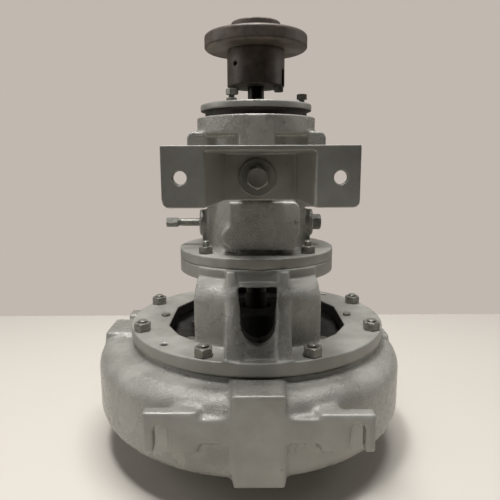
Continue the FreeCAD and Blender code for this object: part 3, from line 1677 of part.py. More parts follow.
def impeller():
    """Closed impeller: back shroud and hub, six backward vanes, front shroud."""
    body = doc.addObject("PartDesign::Body", "impeller_body")
    bore = s.shaft_seat_radius + s.fit_clearance
    rim = s.impeller_radius
    hub = s.impeller_hub_radius
    add_revolution(
        body,
        "impeller_back",
        [
            (bore, shaft_bottom),
            (hub - 6.0, shaft_bottom),
            (hub + 4.0, shroud_bottom),
            (rim, shroud_bottom),
            (rim, shroud_top),
            (hub, shroud_top),
            (hub, impeller_hub_top),
            (bore, impeller_hub_top),
        ],
    )
    vane_bottom = chamber_floor - 2.0
    sketch = sketch_on(body, "vane_outline", "XY_Plane", vane_bottom)
    vane_sketch(sketch)
    vane = body.newObject("PartDesign::Pad", "vane")
    vane.Profile = sketch
    bind(vane, "Length", shroud_bottom + PAST - vane_bottom)
    vanes = body.newObject("PartDesign::PolarPattern", "vanes")
    vanes.Originals = [vane]
    vanes.Axis = (sketch, ["N_Axis"])
    vanes.Angle = 360.0
    vanes.Occurrences = VANES
    body.Tip = vanes
    eye = s.eye_radius
    ring_outer = eye + s.eye_ring_wall
    wall = s.shroud_thickness
    throat = chamber_floor + 2.5
    shoulder = outlet_bottom - 7.0
    past_rim = rim + 3 * PAST
    add_revolution(
        body,
        "vane_trim",
        [
            (eye - 14.0, vane_bottom - PAST),
            (past_rim, vane_bottom - PAST),
            (past_rim, outlet_bottom - wall / 2.0),
            (rim, outlet_bottom - wall / 2.0),
            (eye + 22.0, shoulder - wall / 2.0),
            (eye + 2.0, throat - wall / 2.0),
            (eye - 14.0, throat - wall / 2.0),
        ],
        "Groove",
    )
    add_revolution(
        body,
        "impeller_front",
        [
            (rim, outlet_bottom),
            (rim, outlet_bottom - wall),
            (eye + 23.0, shoulder - wall),
            (ring_outer, chamber_floor + 0.8),
            (ring_outer, chamber_floor - s.eye_ring_depth),
            (eye, chamber_floor - s.eye_ring_depth),
            (eye, throat),
            (eye + 20.0, shoulder),
        ],
    )
    keyway = key_block(
        "impeller_bore_keyway",
        s.shaft_seat_radius + s.fit_clearance,
        shaft_bottom - PAST,
        impeller_hub_top - shaft_bottom + 2 * PAST,
    )
    node("impeller", cut("impeller_keyed", body, keyway))
    washer_bottom = shaft_bottom - s.impeller_washer_thickness
    inner = s.impeller_screw_radius + s.fit_clearance
    outer = s.impeller_washer_radius
    node("impeller_washer", ring("impeller_washer_body", inner, outer, washer_bottom, shaft_bottom))
    head_bottom = washer_bottom - s.impeller_screw_head
    head = hex_bar("impeller_screw_hexagon", s.impeller_screw_flats, head_bottom, washer_bottom)
    shank_top = shaft_bottom + s.impeller_screw_length
    shank = rod("impeller_screw_shank", s.impeller_screw_radius, washer_bottom - PAST, shank_top)
    node("impeller_screw", fused("impeller_screw_body", head, shank))


def shaft_seal():
    """Sleeve, spring and rotating head of the mechanical seal, and the slinger."""
    inner = s.shaft_seat_radius + s.fit_clearance
    low = impeller_hub_top
    node("shaft_sleeve", ring("sleeve_body", inner, s.sleeve_radius, low, sleeve_top))
    head_bottom = seal_chamber_top - s.seal_head_height
    head_inner = s.sleeve_radius + s.fit_clearance
    node(
        "seal_head",
        ring("seal_head_body", head_inner, s.seal_head_radius, head_bottom, seal_chamber_top),
    )
    node("seal_spring", coil_spring(low, head_bottom))
    slinger_top = slinger_level + s.slinger_thickness
    node(
        "slinger",
        turned(
            "slinger_body",
            [
                (s.shaft_seal_radius, slinger_level - 4.0),
                (s.shaft_seal_radius + 5.0, slinger_level - 4.0),
                (s.shaft_seal_radius + 6.0, slinger_level),
                (s.slinger_radius, slinger_level),
                (s.slinger_radius, slinger_top),
                (s.shaft_seal_radius, slinger_top),
            ],
        ),
    )
    seal_inner = s.shaft_seal_radius + s.fit_clearance
    seal_top = frame_base + s.lip_seal_height
    outer = s.inboard_seal_radius
    node("inboard_lip_seal", ring("inboard_seal_body", seal_inner, outer, frame_base, seal_top))


def coil_spring(bottom, top):
    """A coil of half turns, each tilted so that its ends meet the next ones smoothly."""
    wire = s.spring_wire_radius
    start = bottom + wire + s.fit_clearance
    step = (top - wire - s.fit_clearance - start) / (2 * SPRING_TURNS)
    tilt = math.atan2(step.value / 2.0, s.spring_coil_radius.value)
    halves = []
    for k in range(2 * SPRING_TURNS):
        half = doc.addObject("Part::Torus", f"spring_half_turn_{k}")
        bind(half, "Radius1", s.spring_coil_radius / math.cos(tilt))
        bind(half, "Radius2", wire)
        half.Angle3 = 180.0
        turn = FreeCAD.Rotation(vector(0, 0, 1), 180.0 * k)
        lean = FreeCAD.Rotation(vector(0, 1, 0), math.degrees(tilt))
        halves.append(place(half, z=start + step * (k + 0.5), rotation=turn.multiply(lean)))
    return fused("spring_coil", *halves)


def bearing_lock():
    """Tab washer and slotted nut that hold the outboard bearing on the shaft."""
    low = outboard_bearing_level + s.bearing_width
    top = low + s.lock_washer_thickness
    inner = s.thread_radius + s.fit_clearance
    washer_radius = s.lock_nut_radius - 2.0
    node("lock_washer", ring("lock_washer_body", inner, washer_radius, low, top))
    nut_top = top + s.lock_nut_height
    nut = ring("lock_nut_ring", inner, s.lock_nut_radius, top, nut_top)
    reach = s.lock_nut_radius + PAST
    slot = (-2.5, 2.5)
    slots = [
        block("lock_nut_slot_a", slot, (s.lock_nut_radius - 3.0, reach), (top - PAST, nut_top + PAST)),
        block("lock_nut_slot_b", slot, (-reach, -(s.lock_nut_radius - 3.0)), (top - PAST, nut_top + PAST)),
        block("lock_nut_slot_c", (s.lock_nut_radius - 3.0, reach), slot, (top - PAST, nut_top + PAST)),
        block("lock_nut_slot_d", (-reach, -(s.lock_nut_radius - 3.0)), slot, (top - PAST, nut_top + PAST)),
    ]
    node("lock_nut", cut("lock_nut_cut", nut, group("lock_nut_slots", *slots)))


def coupling():
    """Coupling half: hub with screw channels, flange disc, screws and set screw."""
    flange_bottom = coupling_flange_bottom
    flange_top = flange_bottom + s.coupling_flange_thickness
    boss_top = hub_top
    bore = s.shaft_end_radius + s.fit_clearance
    hub = turned(
        "hub_turned",
        [
            (bore, hub_bottom),
            (s.hub_radius, hub_bottom),
            (s.hub_radius, flange_bottom),
            (s.hub_seat_radius, flange_bottom),
            (s.hub_seat_radius, flange_top),
            (s.hub_boss_radius, flange_top),
            (s.hub_boss_radius, boss_top),
            (bore, boss_top),
        ],
    )
    keyway = key_block(
        "hub_keyway",
        s.shaft_end_radius + s.fit_clearance,
        hub_bottom - PAST,
        s.hub_height + s.hub_boss_height + 2 * PAST,
    )
    channel = rod(
        "hub_channel_seed",
        s.coupling_screw_channel,
        0,
        s.coupling_screw_channel_height + PAST,
    )
    channels = circle_of(
        "hub_channels",
        channel,
        s.coupling_screw_circle,
        COUPLING_SCREW_ANGLES,
        hub_bottom - PAST,
    )
    screw_room = rod(
        "hub_screw_room", s.coupling_screw_radius + s.fit_clearance, 0, s.hub_height + 2 * PAST
    )
    screw_rooms = circle_of(
        "hub_screw_rooms",
        screw_room,
        s.coupling_screw_circle,
        COUPLING_SCREW_ANGLES,
        hub_bottom - PAST,
    )
    screw_level = hub_bottom + s.set_screw_level
    hole_radius = s.set_screw_radius + s.fit_clearance
    screw_hole = rod("hub_set_hole", hole_radius, 0, s.hub_radius + 4 * PAST - bore)
    place_on_hub(screw_hole, screw_level, s.hub_radius + PAST)
    hub = cut("hub_cut", hub, channels, screw_rooms, screw_hole)
    node("coupling_hub", cut("hub_keyed", hub, keyway))
    set_screw = rod("set_screw_body", s.set_screw_radius, 0, s.set_screw_length)
    place_on_hub(set_screw, screw_level, bore + s.set_screw_length + 0.3)
    node("coupling_set_screw", set_screw)
    chamfer = s.coupling_chamfer
    rim = s.coupling_flange_radius
    inner = s.hub_seat_radius + s.fit_clearance
    disc = turned(
        "coupling_disc",
        [
            (inner, flange_bottom),
            (rim - chamfer, flange_bottom),
            (rim, flange_bottom + chamfer),
            (rim, flange_top - chamfer),
            (rim - chamfer, flange_top),
            (inner, flange_top),
        ],
    )
    node("coupling_flange", disc)
    head_top = hub_bottom + s.coupling_screw_head - s.coupling_screw_drop
    head = hex_bar(
        "coupling_screw_head_bar",
        s.coupling_screw_flats - 1.0,
        -s.coupling_screw_head,
        0,
        turn=20.0,
    )
    shank_top = flange_bottom - head_top
    shank = rod("coupling_screw_shank", s.coupling_screw_radius, -PAST, shank_top)
    screw = fused("coupling_screw", head, shank)
    node(
        "coupling_screws",
        circle_of(
            "coupling_screw",
            screw,
            s.coupling_screw_circle,
            COUPLING_SCREW_ANGLES,
            head_top,
        ),
    )


def place_on_hub(item, level, outer):
    """Points a bar made along Y inwards from the hub's rim at the set screw's angle."""
    x, y = polar(outer, SET_SCREW_ANGLE)
    inward = polar(1.0, SET_SCREW_ANGLE + 180.0)
    direction = vector(inward[0], inward[1], 0)
    place(item, x, y, level, FreeCAD.Rotation(vector(0, 0, 1), direction))


def check_and_export():
    """Stops at a failed object or an invalid shape, then writes one file per piece."""
    doc.recompute()
    failed = [item.Name for item in doc.Objects if {"Invalid", "Error"} & set(item.State)]
    if failed:
        raise RuntimeError(f"failed objects: {failed}")
    for item in nodes:
        shape = item.Shape
        if shape.isNull() or not shape.isValid() or not shape.Solids:
            raise RuntimeError(f"{item.Label} has no valid shape")
    os.makedirs("parts", exist_ok=True)
    for item in nodes:
        item.Shape.exportStep(f"parts/{item.Label}.step")
        box = item.Shape.BoundBox
        count = len(item.Shape.Solids)
        size = f"{item.Shape.Volume:.0f} mm3, z {box.ZMin:.1f} to {box.ZMax:.1f}"
        print(f"{item.Label}: {count} solids, {size}")


volute_casing()
wear_ring()
casing_cover()
adapter()
casing_fasteners()
bearing_frame()
frame_fasteners()
frame_fittings()
support_foot()
bearing_cover()
bearing("inboard", inboard_bearing_level)
bearing("outboard", outboard_bearing_level)
shaft()
keys()
impeller()
shaft_seal()
bearing_lock()
coupling()
check_and_export()
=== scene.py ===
import json
import math

import bmesh
import bpy
import numpy as np
from mathutils import Matrix, Vector

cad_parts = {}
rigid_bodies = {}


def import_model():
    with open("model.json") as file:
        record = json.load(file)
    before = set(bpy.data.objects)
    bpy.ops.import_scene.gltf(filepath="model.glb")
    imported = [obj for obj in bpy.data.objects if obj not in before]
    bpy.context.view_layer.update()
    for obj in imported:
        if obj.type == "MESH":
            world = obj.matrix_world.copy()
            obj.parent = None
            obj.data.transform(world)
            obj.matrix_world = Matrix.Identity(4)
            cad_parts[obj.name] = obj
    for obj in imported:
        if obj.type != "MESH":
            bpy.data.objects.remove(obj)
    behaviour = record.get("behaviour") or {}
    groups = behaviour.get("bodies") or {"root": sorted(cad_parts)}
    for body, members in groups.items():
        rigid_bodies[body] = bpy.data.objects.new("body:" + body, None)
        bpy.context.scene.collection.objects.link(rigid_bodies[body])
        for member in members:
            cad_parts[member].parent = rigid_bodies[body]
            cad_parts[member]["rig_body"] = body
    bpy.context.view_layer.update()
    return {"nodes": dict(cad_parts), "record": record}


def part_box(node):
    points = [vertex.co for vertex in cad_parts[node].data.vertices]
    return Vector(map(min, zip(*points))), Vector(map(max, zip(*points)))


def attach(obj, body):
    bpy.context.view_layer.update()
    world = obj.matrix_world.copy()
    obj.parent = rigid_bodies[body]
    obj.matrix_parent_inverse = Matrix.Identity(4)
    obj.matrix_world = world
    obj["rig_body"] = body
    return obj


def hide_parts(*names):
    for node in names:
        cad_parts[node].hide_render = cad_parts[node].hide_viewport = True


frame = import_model()
nodes = frame["nodes"]

# Volute casing: grey iron, sand cast in one piece with its feet and both flanges,
# machined on the foot faces and joint faces, then sprayed with grey machine enamel.
# The skin functions here serve every other casting of the pump as well.

MM = 0.001


def linear(hex_colour):
    """An sRGB hex colour as linear light: the lower end is a straight line, the rest a power."""
    channels = [int(hex_colour[k : k + 2], 16) / 255.0 for k in (1, 3, 5)]
    light = [c / 12.92 if c <= 0.04045 else ((c + 0.055) / 1.055) ** 2.4 for c in channels]
    return (*light, 1.0)


def add_node(tree, kind, values=None, links=None, **properties):
    """Adds a shader node, sets its inputs and properties, and links sources to its inputs."""
    node = tree.nodes.new(f"ShaderNode{kind}")
    for key, value in properties.items():
        setattr(node, key, value)
    for key, value in (values or {}).items():
        node.inputs[key].default_value = value
    for key, source in (links or {}).items():
        tree.links.new(source, node.inputs[key])
    return node


def new_material(name):
    """An empty node material and its tree."""
    material = bpy.data.materials.new(name)
    material.use_nodes = True
    material.node_tree.nodes.clear()
    return material, material.node_tree


def per_metre(size_mm):
    """The noise scale whose features are about a size in millimetres."""
    return 1.0 / (size_mm * MM)


def grey_enamel(name, grit_depth_mm, wave_depth_mm, rough, rust, dark="#93918a", light="#a5a39c"):
    """Sprayed machine enamel, IOR 1.5, over iron whose sand grain and pits show through.

    Broad patches vary its tone, a fine grain breaks up its gloss, and rust darkens small
    pits where the film is thin, most of them in clusters.
    """
    material, tree = new_material(name)
    place = add_node(tree, "TexCoord").outputs["Object"]
    patches = add_node(
        tree, "TexNoise", {"Scale": per_metre(38), "Detail": 4.0, "Roughness": 0.6}, {"Vector": place}
    )
    grain = add_node(
        tree, "TexNoise", {"Scale": per_metre(1.5), "Detail": 2.0, "Roughness": 0.6}, {"Vector": place}
    )
    waves = add_node(tree, "TexNoise", {"Scale": per_metre(9), "Detail": 2.0}, {"Vector": place})
    pits = add_node(
        tree, "TexNoise", {"Scale": per_metre(4.5), "Detail": 4.0, "Roughness": 0.7}, {"Vector": place}
    )
    clusters = add_node(tree, "TexNoise", {"Scale": per_metre(60), "Detail": 2.0}, {"Vector": place})
    tone = add_node(tree, "ValToRGB", links={"Fac": patches.outputs["Fac"]})
    tone.color_ramp.elements[0].position = 0.34
    tone.color_ramp.elements[0].color = linear(dark)
    tone.color_ramp.elements[1].position = 0.66
    tone.color_ramp.elements[1].color = linear(light)
    depth = add_node(
        tree,
        "Math",
        {1: 0.45},
        {0: clusters.outputs["Fac"], 2: pits.outputs["Fac"]},
        operation="MULTIPLY_ADD",
    )
    spot = add_node(
        tree,
        "MapRange",
        {"From Min": 0.93 - 0.02 * rust, "From Max": 0.97 - 0.02 * rust, "To Min": 0.0, "To Max": 0.75},
        {"Value": depth.outputs[0]},
    )
    colour = add_node(
        tree,
        "Mix",
        {7: linear("#4a4137")},
        {0: spot.outputs["Result"], 6: tone.outputs["Color"]},
        data_type="RGBA",
    )
    gloss = add_node(
        tree,
        "MapRange",
        {"From Min": 0.35, "From Max": 0.65, "To Min": rough, "To Max": rough + 0.16},
        {"Value": patches.outputs["Fac"]},
    )
    swell = add_node(
        tree,
        "Bump",
        {"Strength": 1.0, "Distance": wave_depth_mm * MM},
        {"Height": waves.outputs["Fac"]},
    )
    bump = add_node(
        tree,
        "Bump",
        {"Strength": 1.0, "Distance": grit_depth_mm * MM},
        {"Height": grain.outputs["Fac"], "Normal": swell.outputs["Normal"]},
    )
    shader = add_node(
        tree,
        "BsdfPrincipled",
        {"IOR": 1.5, "Metallic": 0.22},
        {
            "Base Color": colour.outputs[2],
            "Roughness": gloss.outputs["Result"],
            "Normal": bump.outputs["Normal"],
        },
    )
    add_node(tree, "OutputMaterial", links={"Surface": shader.outputs["BSDF"]})
    return material


# A darker copy of the enamel for the foot bolt and washer: painted shade, as they sit in the shade of the
# foot's shelf.
# Sand cast iron under enamel: sand of under 1 mm, drawn at 2 mm so that it shows.
cast_enamel = grey_enamel("enamel_on_sand_cast_iron", 0.75, 0.22, 0.2, 1.0)
# The same enamel over milled or turned faces, which leave almost no grain.
smooth_enamel = grey_enamel("enamel_on_machined_iron", 0.06, 0.06, 0.36, -1.0)


# Darker enamel: painted shade on the foot bolt and washer.
shaded_enamel = grey_enamel("enamel_painted_shade", 0.12, 0.05, 0.32, 0.0, "#787771", "#8f8d86")


def dark_shade_iron(name, dark, light, rough):
    """A dark iron tone used as painted shade: blotches of about 14 mm over fine pores."""
    material, tree = new_material(name)
    place = add_node(tree, "TexCoord").outputs["Object"]
    stain = add_node(
        tree, "TexNoise", {"Scale": per_metre(14), "Detail": 6.0, "Roughness": 0.65}, {"Vector": place}
    )
    pores = add_node(
        tree, "TexNoise", {"Scale": per_metre(1.8), "Detail": 3.0, "Roughness": 0.7}, {"Vector": place}
    )
    tone = add_node(tree, "ValToRGB", links={"Fac": stain.outputs["Fac"]})
    tone.color_ramp.elements[0].position = 0.35
    tone.color_ramp.elements[0].color = linear(dark)
    tone.color_ramp.elements[1].position = 0.68
    tone.color_ramp.elements[1].color = linear(light)
    bump = add_node(
        tree, "Bump", {"Strength": 1.0, "Distance": 0.2 * MM}, {"Height": pores.outputs["Fac"]}
    )
    shader = add_node(
        tree,
        "BsdfPrincipled",
        {"Roughness": rough, "Metallic": 0.2},
        {"Base Color": tone.outputs["Color"], "Normal": bump.outputs["Normal"]},
    )
    add_node(tree, "OutputMaterial", links={"Surface": shader.outputs["BSDF"]})
    return material


# Dark iron is painted shade: it stands where the inside of the pump lies in shade.
painted_shade_iron = dark_shade_iron("dark_iron_painted_shade", "#2f2d2a", "#484541", 0.6)


def add_piece(name, mesh, body, materials, replaced=()):
    """Makes a finished mesh a piece of the pump: linked, riding, replacing and in its slot."""
    piece = bpy.data.objects.new(name, mesh)
    bpy.context.scene.collection.objects.link(piece)
    mesh.materials.clear()
    for material in materials:
        mesh.materials.append(material)
    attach(piece, body)
    if replaced:
        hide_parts(*replaced)
    return piece


def even_cells(node_name, cell_mm):
    """A node's mesh, welded and rebuilt on an even grid of small cells, as a new mesh."""
    welded = bmesh.new()
    welded.from_mesh(nodes[node_name].data)
    bmesh.ops.remove_doubles(welded, verts=welded.verts, dist=0.001 * MM)
    mesh = bpy.data.meshes.new(f"{node_name}_welded")
    welded.to_mesh(mesh)
    welded.free()
    blank = bpy.data.objects.new(f"{node_name}_blank", mesh)
    bpy.context.scene.collection.objects.link(blank)
    grid = blank.modifiers.new("even_cells", "REMESH")
    grid.mode = "VOXEL"
    grid.voxel_size = cell_mm * MM
    grid.use_smooth_shade = True
    ready = blank.evaluated_get(bpy.context.evaluated_depsgraph_get())
    even = bpy.data.meshes.new_from_object(ready)
    bpy.data.objects.remove(blank)
    bpy.data.meshes.remove(mesh)
    return even


def points_of(mesh):
    """A mesh's points as an array of X, Y, Z rows."""
    flat = np.empty(len(mesh.vertices) * 3)
    mesh.vertices.foreach_get("co", flat)
    return flat.reshape(-1, 3)


def normals_of(mesh):
    """A mesh's smooth point normals as an array of rows."""
    flat = np.empty(len(mesh.vertices) * 3)
    mesh.vertex_normals.foreach_get("vector", flat)
    return flat.reshape(-1, 3)


def relaxed(mesh, rounds, free):
    """Points after each has moved half way to the mean of its neighbours, a number of times.

    Sharp inner and outer edges turn into fillets; free is 0 where a face stays as machined.
    """
    points = points_of(mesh)
    pairs = np.empty(len(mesh.edges) * 2, np.int64)
    mesh.edges.foreach_get("vertices", pairs)
    one, other = pairs[0::2], pairs[1::2]
    count = np.bincount(pairs, minlength=len(points)).clip(1)
    pace = 0.5 * free[:, None]
    for _ in range(rounds):
        total = np.column_stack(
            [
                np.bincount(one, points[other, axis], len(points))
                + np.bincount(other, points[one, axis], len(points))
                for axis in range(3)
            ]
        )
        points += pace * (total / count[:, None] - points)
    return points


def sand_relief(points, seed, shortest_mm, longest_mm):
    """An uneven surface from -1 to 1: the mean of plane waves in random directions."""
    random = np.random.default_rng(seed)
    waves = 40
    heading = random.normal(size=(waves, 3))
    heading /= np.linalg.norm(heading, axis=1)[:, None]
    length = random.uniform(shortest_mm, longest_mm, waves) * MM
    phase = random.uniform(0.0, 2.0 * math.pi, waves)
    relief = np.zeros(len(points))
    for k in range(waves):
        relief += np.sin(points @ heading[k] * (2.0 * math.pi / length[k]) + phase[k])
    return relief / math.sqrt(waves)


def face_means(mesh, values):
    """The mean over each face's corners of a value that each point has."""
    sizes = np.empty(len(mesh.polygons), np.int32)
    mesh.polygons.foreach_get("loop_total", sizes)
    corners = np.empty(len(mesh.loops), np.int64)
    mesh.loops.foreach_get("vertex_index", corners)
    starts = np.concatenate(([0], np.cumsum(sizes)[:-1]))
    return np.add.reduceat(values[corners], starts) / sizes


def casting_skin(node_name, cell_mm, rounds, machined, relief_mm, painted_shade_mask=None, thin=None):
    """Puts a rounded, slightly uneven skin over a casting and leaves its machined faces true.

    Its faces take cast enamel, smooth enamel where machined, or dark iron as painted shade where the shade
    mask marks them.
    """
    mesh = even_cells(node_name, cell_mm)
    free = 1.0 - machined(points_of(mesh))
    points = relaxed(mesh, rounds, free)
    mesh.vertices.foreach_set("co", points.ravel())
    mesh.update()
    relief = sand_relief(points, len(node_name), 9.0, 26.0)
    points += normals_of(mesh) * (relief * relief_mm * MM * free)[:, None]
    mesh.vertices.foreach_set("co", points.ravel())
    mesh.update()
    if thin is not None:
        mesh = thinned(mesh, thin(points, normals_of(mesh)))
    points = points_of(mesh)
    finish = (face_means(mesh, machined(points)) > 0.5).astype(np.int32)
    # Faces that the shade mask marks take dark iron: painted shade.
    if painted_shade_mask is not None:
        finish[face_means(mesh, painted_shade_mask(points, normals_of(mesh)).astype(float)) > 0.5] = 2
    piece = add_piece(
        f"{node_name}_skin",
        mesh,
        nodes[node_name]["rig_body"],
        [cast_enamel, smooth_enamel, painted_shade_iron],
        (node_name,),
    )
    mesh.polygons.foreach_set("use_smooth", np.ones(len(finish), bool))
    mesh.polygons.foreach_set("material_index", finish)
    return piece


def thinned(mesh, hidden):
    """The mesh with fewer faces where hidden is 1, as on walls that are out of sight."""
    blank = bpy.data.objects.new("thinning", mesh)
    bpy.context.scene.collection.objects.link(blank)
    members = blank.vertex_groups.new(name="hidden")
    members.add(np.flatnonzero(hidden > 0.5).tolist(), 1.0, "REPLACE")
    fewer = blank.modifiers.new("fewer_faces", "DECIMATE")
    fewer.ratio = 1.0 - 0.9 * float(hidden.mean())
    fewer.vertex_group = "hidden"
    ready = blank.evaluated_get(bpy.context.evaluated_depsgraph_get())
    thin = bpy.data.meshes.new_from_object(ready)
    bpy.data.objects.remove(blank)
    return thin


def within(values, limit_mm, fade_mm=2.0):
    """1 where a distance is under a limit, fading to 0 just past it."""
    return np.clip((limit_mm + fade_mm - values / MM) / fade_mm, 0.0, 1.0)


casing_low, casing_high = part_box("volute_casing")
PASSAGE_MIDDLE = 98.5
PASSAGE_RADIUS = 165.0


def casing_machined(p):
    """The foot faces, the joint face, the suction flange and the discharge flange."""
    radius = np.hypot(p[:, 0], p[:, 1])
    foot = within(p[:, 1] - casing_low.y, 1.5)
    joint = within(160.0 * MM - p[:, 2], 2.0) * (radius < 178.0 * MM)
    suction = within(p[:, 2] - casing_low.z, 22.0)
    discharge = within(casing_high.y - p[:, 1], 17.5)
    return np.maximum.reduce([foot, joint, suction, discharge])


def casing_inside(p, normal):
    """The walls that face the middle of the spiral passage, which no side of the pump shows."""
    radius = np.hypot(p[:, 0], p[:, 1])
    middle = np.column_stack([p[:, 0] / radius, p[:, 1] / radius]) * PASSAGE_RADIUS * MM
    across = p - np.column_stack([middle, np.full(len(p), PASSAGE_MIDDLE * MM)])
    inward = (across * normal).sum(axis=1) < 0.0
    return (inward & (np.linalg.norm(across, axis=1) < 52.0 * MM)).astype(float)


casting_skin(
    "volute_casing", 3.05, 3, casing_machined, 0.12, thin=casing_inside
)

# Casing cover and adapter: two more iron castings. The cover lies in the casing's
# register; the adapter's turned plate clamps it and its arched yoke carries the frame.

cover_low, cover_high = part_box("casing_cover")
adapter_low, adapter_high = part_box("adapter")
PLATE_THICKNESS = 17.3
UPPER_FLANGE_THICKNESS = 18.3
WINDOW_HALF_WIDTH = 21.5
WINDOW_FRONT = -150.0
WINDOW_BACK = -50.0
WINDOW_LEVEL = 217.5
WINDOW_HALF_HEIGHT = 35.5
plate_top = adapter_low.z + PLATE_THICKNESS * MM
adapter_flange_bottom = adapter_high.z - UPPER_FLANGE_THICKNESS * MM


def cover_machined(p):
    """Only the cover's rim is turned: the pocket between rim and hub is as cast."""
    return (np.hypot(p[:, 0], p[:, 1]) > 128.0 * MM).astype(float)


def whole_piece_shaded(p, normal):
    """Every part of a piece, which then takes dark iron as painted shade."""
    return np.ones(len(p), bool)


def adapter_machined(p):
    """The bolting plate and the rim of the upper flange, turned on the lathe."""
    radius = np.hypot(p[:, 0], p[:, 1])
    plate = within(p[:, 2] - plate_top, 0.2, 3.0)
    flange = within(adapter_flange_bottom - p[:, 2], 0.0, 2.0)
    return np.maximum(plate, flange * (radius > 98.0 * MM))


def adapter_painted_shade(p, normal):
    """Painted shade: the walls that face the shaft inside the yoke and round the plate's opening, the faces
    under the flange and the window's walls.
    """
    radius = np.hypot(p[:, 0], p[:, 1])
    inward = (p[:, 0] * normal[:, 0] + p[:, 1] * normal[:, 1]) / radius < -0.5
    ceiling = (normal[:, 2] < -0.3) & (radius < 134.0 * MM) & (p[:, 2] > plate_top)
    beside_window = (np.abs(p[:, 0]) < WINDOW_HALF_WIDTH * MM) & (p[:, 1] > WINDOW_FRONT * MM)
    in_window = beside_window & (p[:, 1] < WINDOW_BACK * MM) & (np.abs(p[:, 2] - WINDOW_LEVEL * MM) < WINDOW_HALF_HEIGHT * MM)
    window_walls = in_window & (normal[:, 1] > -0.45)
    return ((inward | ceiling) & (radius < 136.0 * MM)) | window_walls


# The whole cover takes dark iron: painted shade for its pocket under the plate.
casting_skin("casing_cover", 2.6, 3, cover_machined, 0.1, painted_shade_mask=whole_piece_shaded)
# The adapter's inner walls take dark iron: painted shade inside the yoke.
casting_skin("adapter", 1.8, 3, adapter_machined, 0.12, painted_shade_mask=adapter_painted_shade)

# Studs, nuts and small screws of the casing joint: zinc plated steel gone dull under thin
# overspray. Each shape is worked out as rings of points round its own axis.

AROUND = 48
ring_angles = np.arange(AROUND) * (2.0 * math.pi / AROUND)


def dull_zinc(name, dark, light, rough, metallic):
    """Zinc plated steel after years: grey and mottled every 4 mm."""
    material, tree = new_material(name)
    place = add_node(tree, "TexCoord").outputs["Object"]
    mottle = add_node(
        tree, "TexNoise", {"Scale": per_metre(4), "Detail": 5.0, "Roughness": 0.6}, {"Vector": place}
    )
    tone = add_node(tree, "ValToRGB", links={"Fac": mottle.outputs["Fac"]})
    tone.color_ramp.elements[0].position = 0.35
    tone.color_ramp.elements[0].color = linear(dark)
    tone.color_ramp.elements[1].position = 0.65
    tone.color_ramp.elements[1].color = linear(light)
    bump = add_node(
        tree, "Bump", {"Strength": 0.8, "Distance": 0.2 * MM}, {"Height": mottle.outputs["Fac"]}
    )
    shader = add_node(
        tree,
        "BsdfPrincipled",
        {"Roughness": rough, "Metallic": metallic},
        {"Base Color": tone.outputs["Color"], "Normal": bump.outputs["Normal"]},
    )
    add_node(tree, "OutputMaterial", links={"Surface": shader.outputs["BSDF"]})
    return material


fastener_steel = dull_zinc("dull_zinc_plate", "#6b6a62", "#8f8d84", 0.38, 0.3)


def solid_boxes(node_name, spread_mm=16.0):
    """Each upright solid of a node: its axis, its points, found as those near one another."""
    left = points_of(nodes[node_name].data)
    found = []
    while len(left):
        near = np.hypot(*(left[:, :2] - left[0, :2]).T) < spread_mm * MM * 2.0
        group = left[near]
        axis = (group[:, :2].min(axis=0) + group[:, :2].max(axis=0)) / 2.0
        near = np.hypot(*(left[:, :2] - axis).T) < spread_mm * MM
        group = left[near]
        found.append(((group[:, :2].min(axis=0) + group[:, :2].max(axis=0)) / 2.0, group))
        left = left[~near]
    return found


def corner_angle(axis, group):
    """The direction of a hexagon's corner: that of its furthest point from the axis."""
    away = group[:, :2] - axis
    furthest = away[np.hypot(away[:, 0], away[:, 1]).argmax()]
    return math.atan2(furthest[1], furthest[0])


def revolve(profile, angles=ring_angles):
    """Rings of points from a profile of (radius, height) pairs, radius and height in mm.

    Each may be one value for the whole ring or one for every angle of it.
    """
    rings = [
        np.column_stack(
            [
                np.broadcast_to(radius, angles.shape) * np.cos(angles),
                np.broadcast_to(radius, angles.shape) * np.sin(angles),
                np.broadcast_to(height, angles.shape),
            ]
        )
        for radius, height in profile
    ]
    return np.array(rings) * MM


def hexagon(flats, angles=ring_angles):
    """The radius of a hexagon: half its flats over the cosine from the middle of the flat."""
    sector = math.pi / 3.0
    from_flat = (angles % sector) - sector / 2.0
    return flats / 2.0 / np.cos(from_flat)


def hex_nut(flats, height, bore):
    """A nut: a hexagon whose corners are cut at both ends by cones of 30 degrees."""
    side = hexagon(flats)
    face = 0.46 * flats
    drop = np.clip(side - face, 0.0, None) * math.tan(math.radians(30.0))
    return revolve(
        [
            (bore, 0.6),
            (bore + 0.6, 0.0),
            (face, 0.0),
            (side, drop),
            (side, height - drop),
            (face, height),
            (bore + 1.1, height),
            (bore, height - 1.1),
            (bore, 0.6),
        ]
    )


def hex_head(flats, height, dished=0.0):
    """A bolt head: a hexagon with its upper corners cut by a cone of 30 degrees."""
    side = hexagon(flats)
    face = 0.46 * flats
    drop = np.clip(side - face, 0.0, None) * math.tan(math.radians(30.0))
    return revolve(
        [
            (0.0, 0.0),
            (side, 0.0),
            (side, height - drop),
            (face, height),
            (face * 0.8, height - dished),
            (0.0, height - dished),
        ]
    )


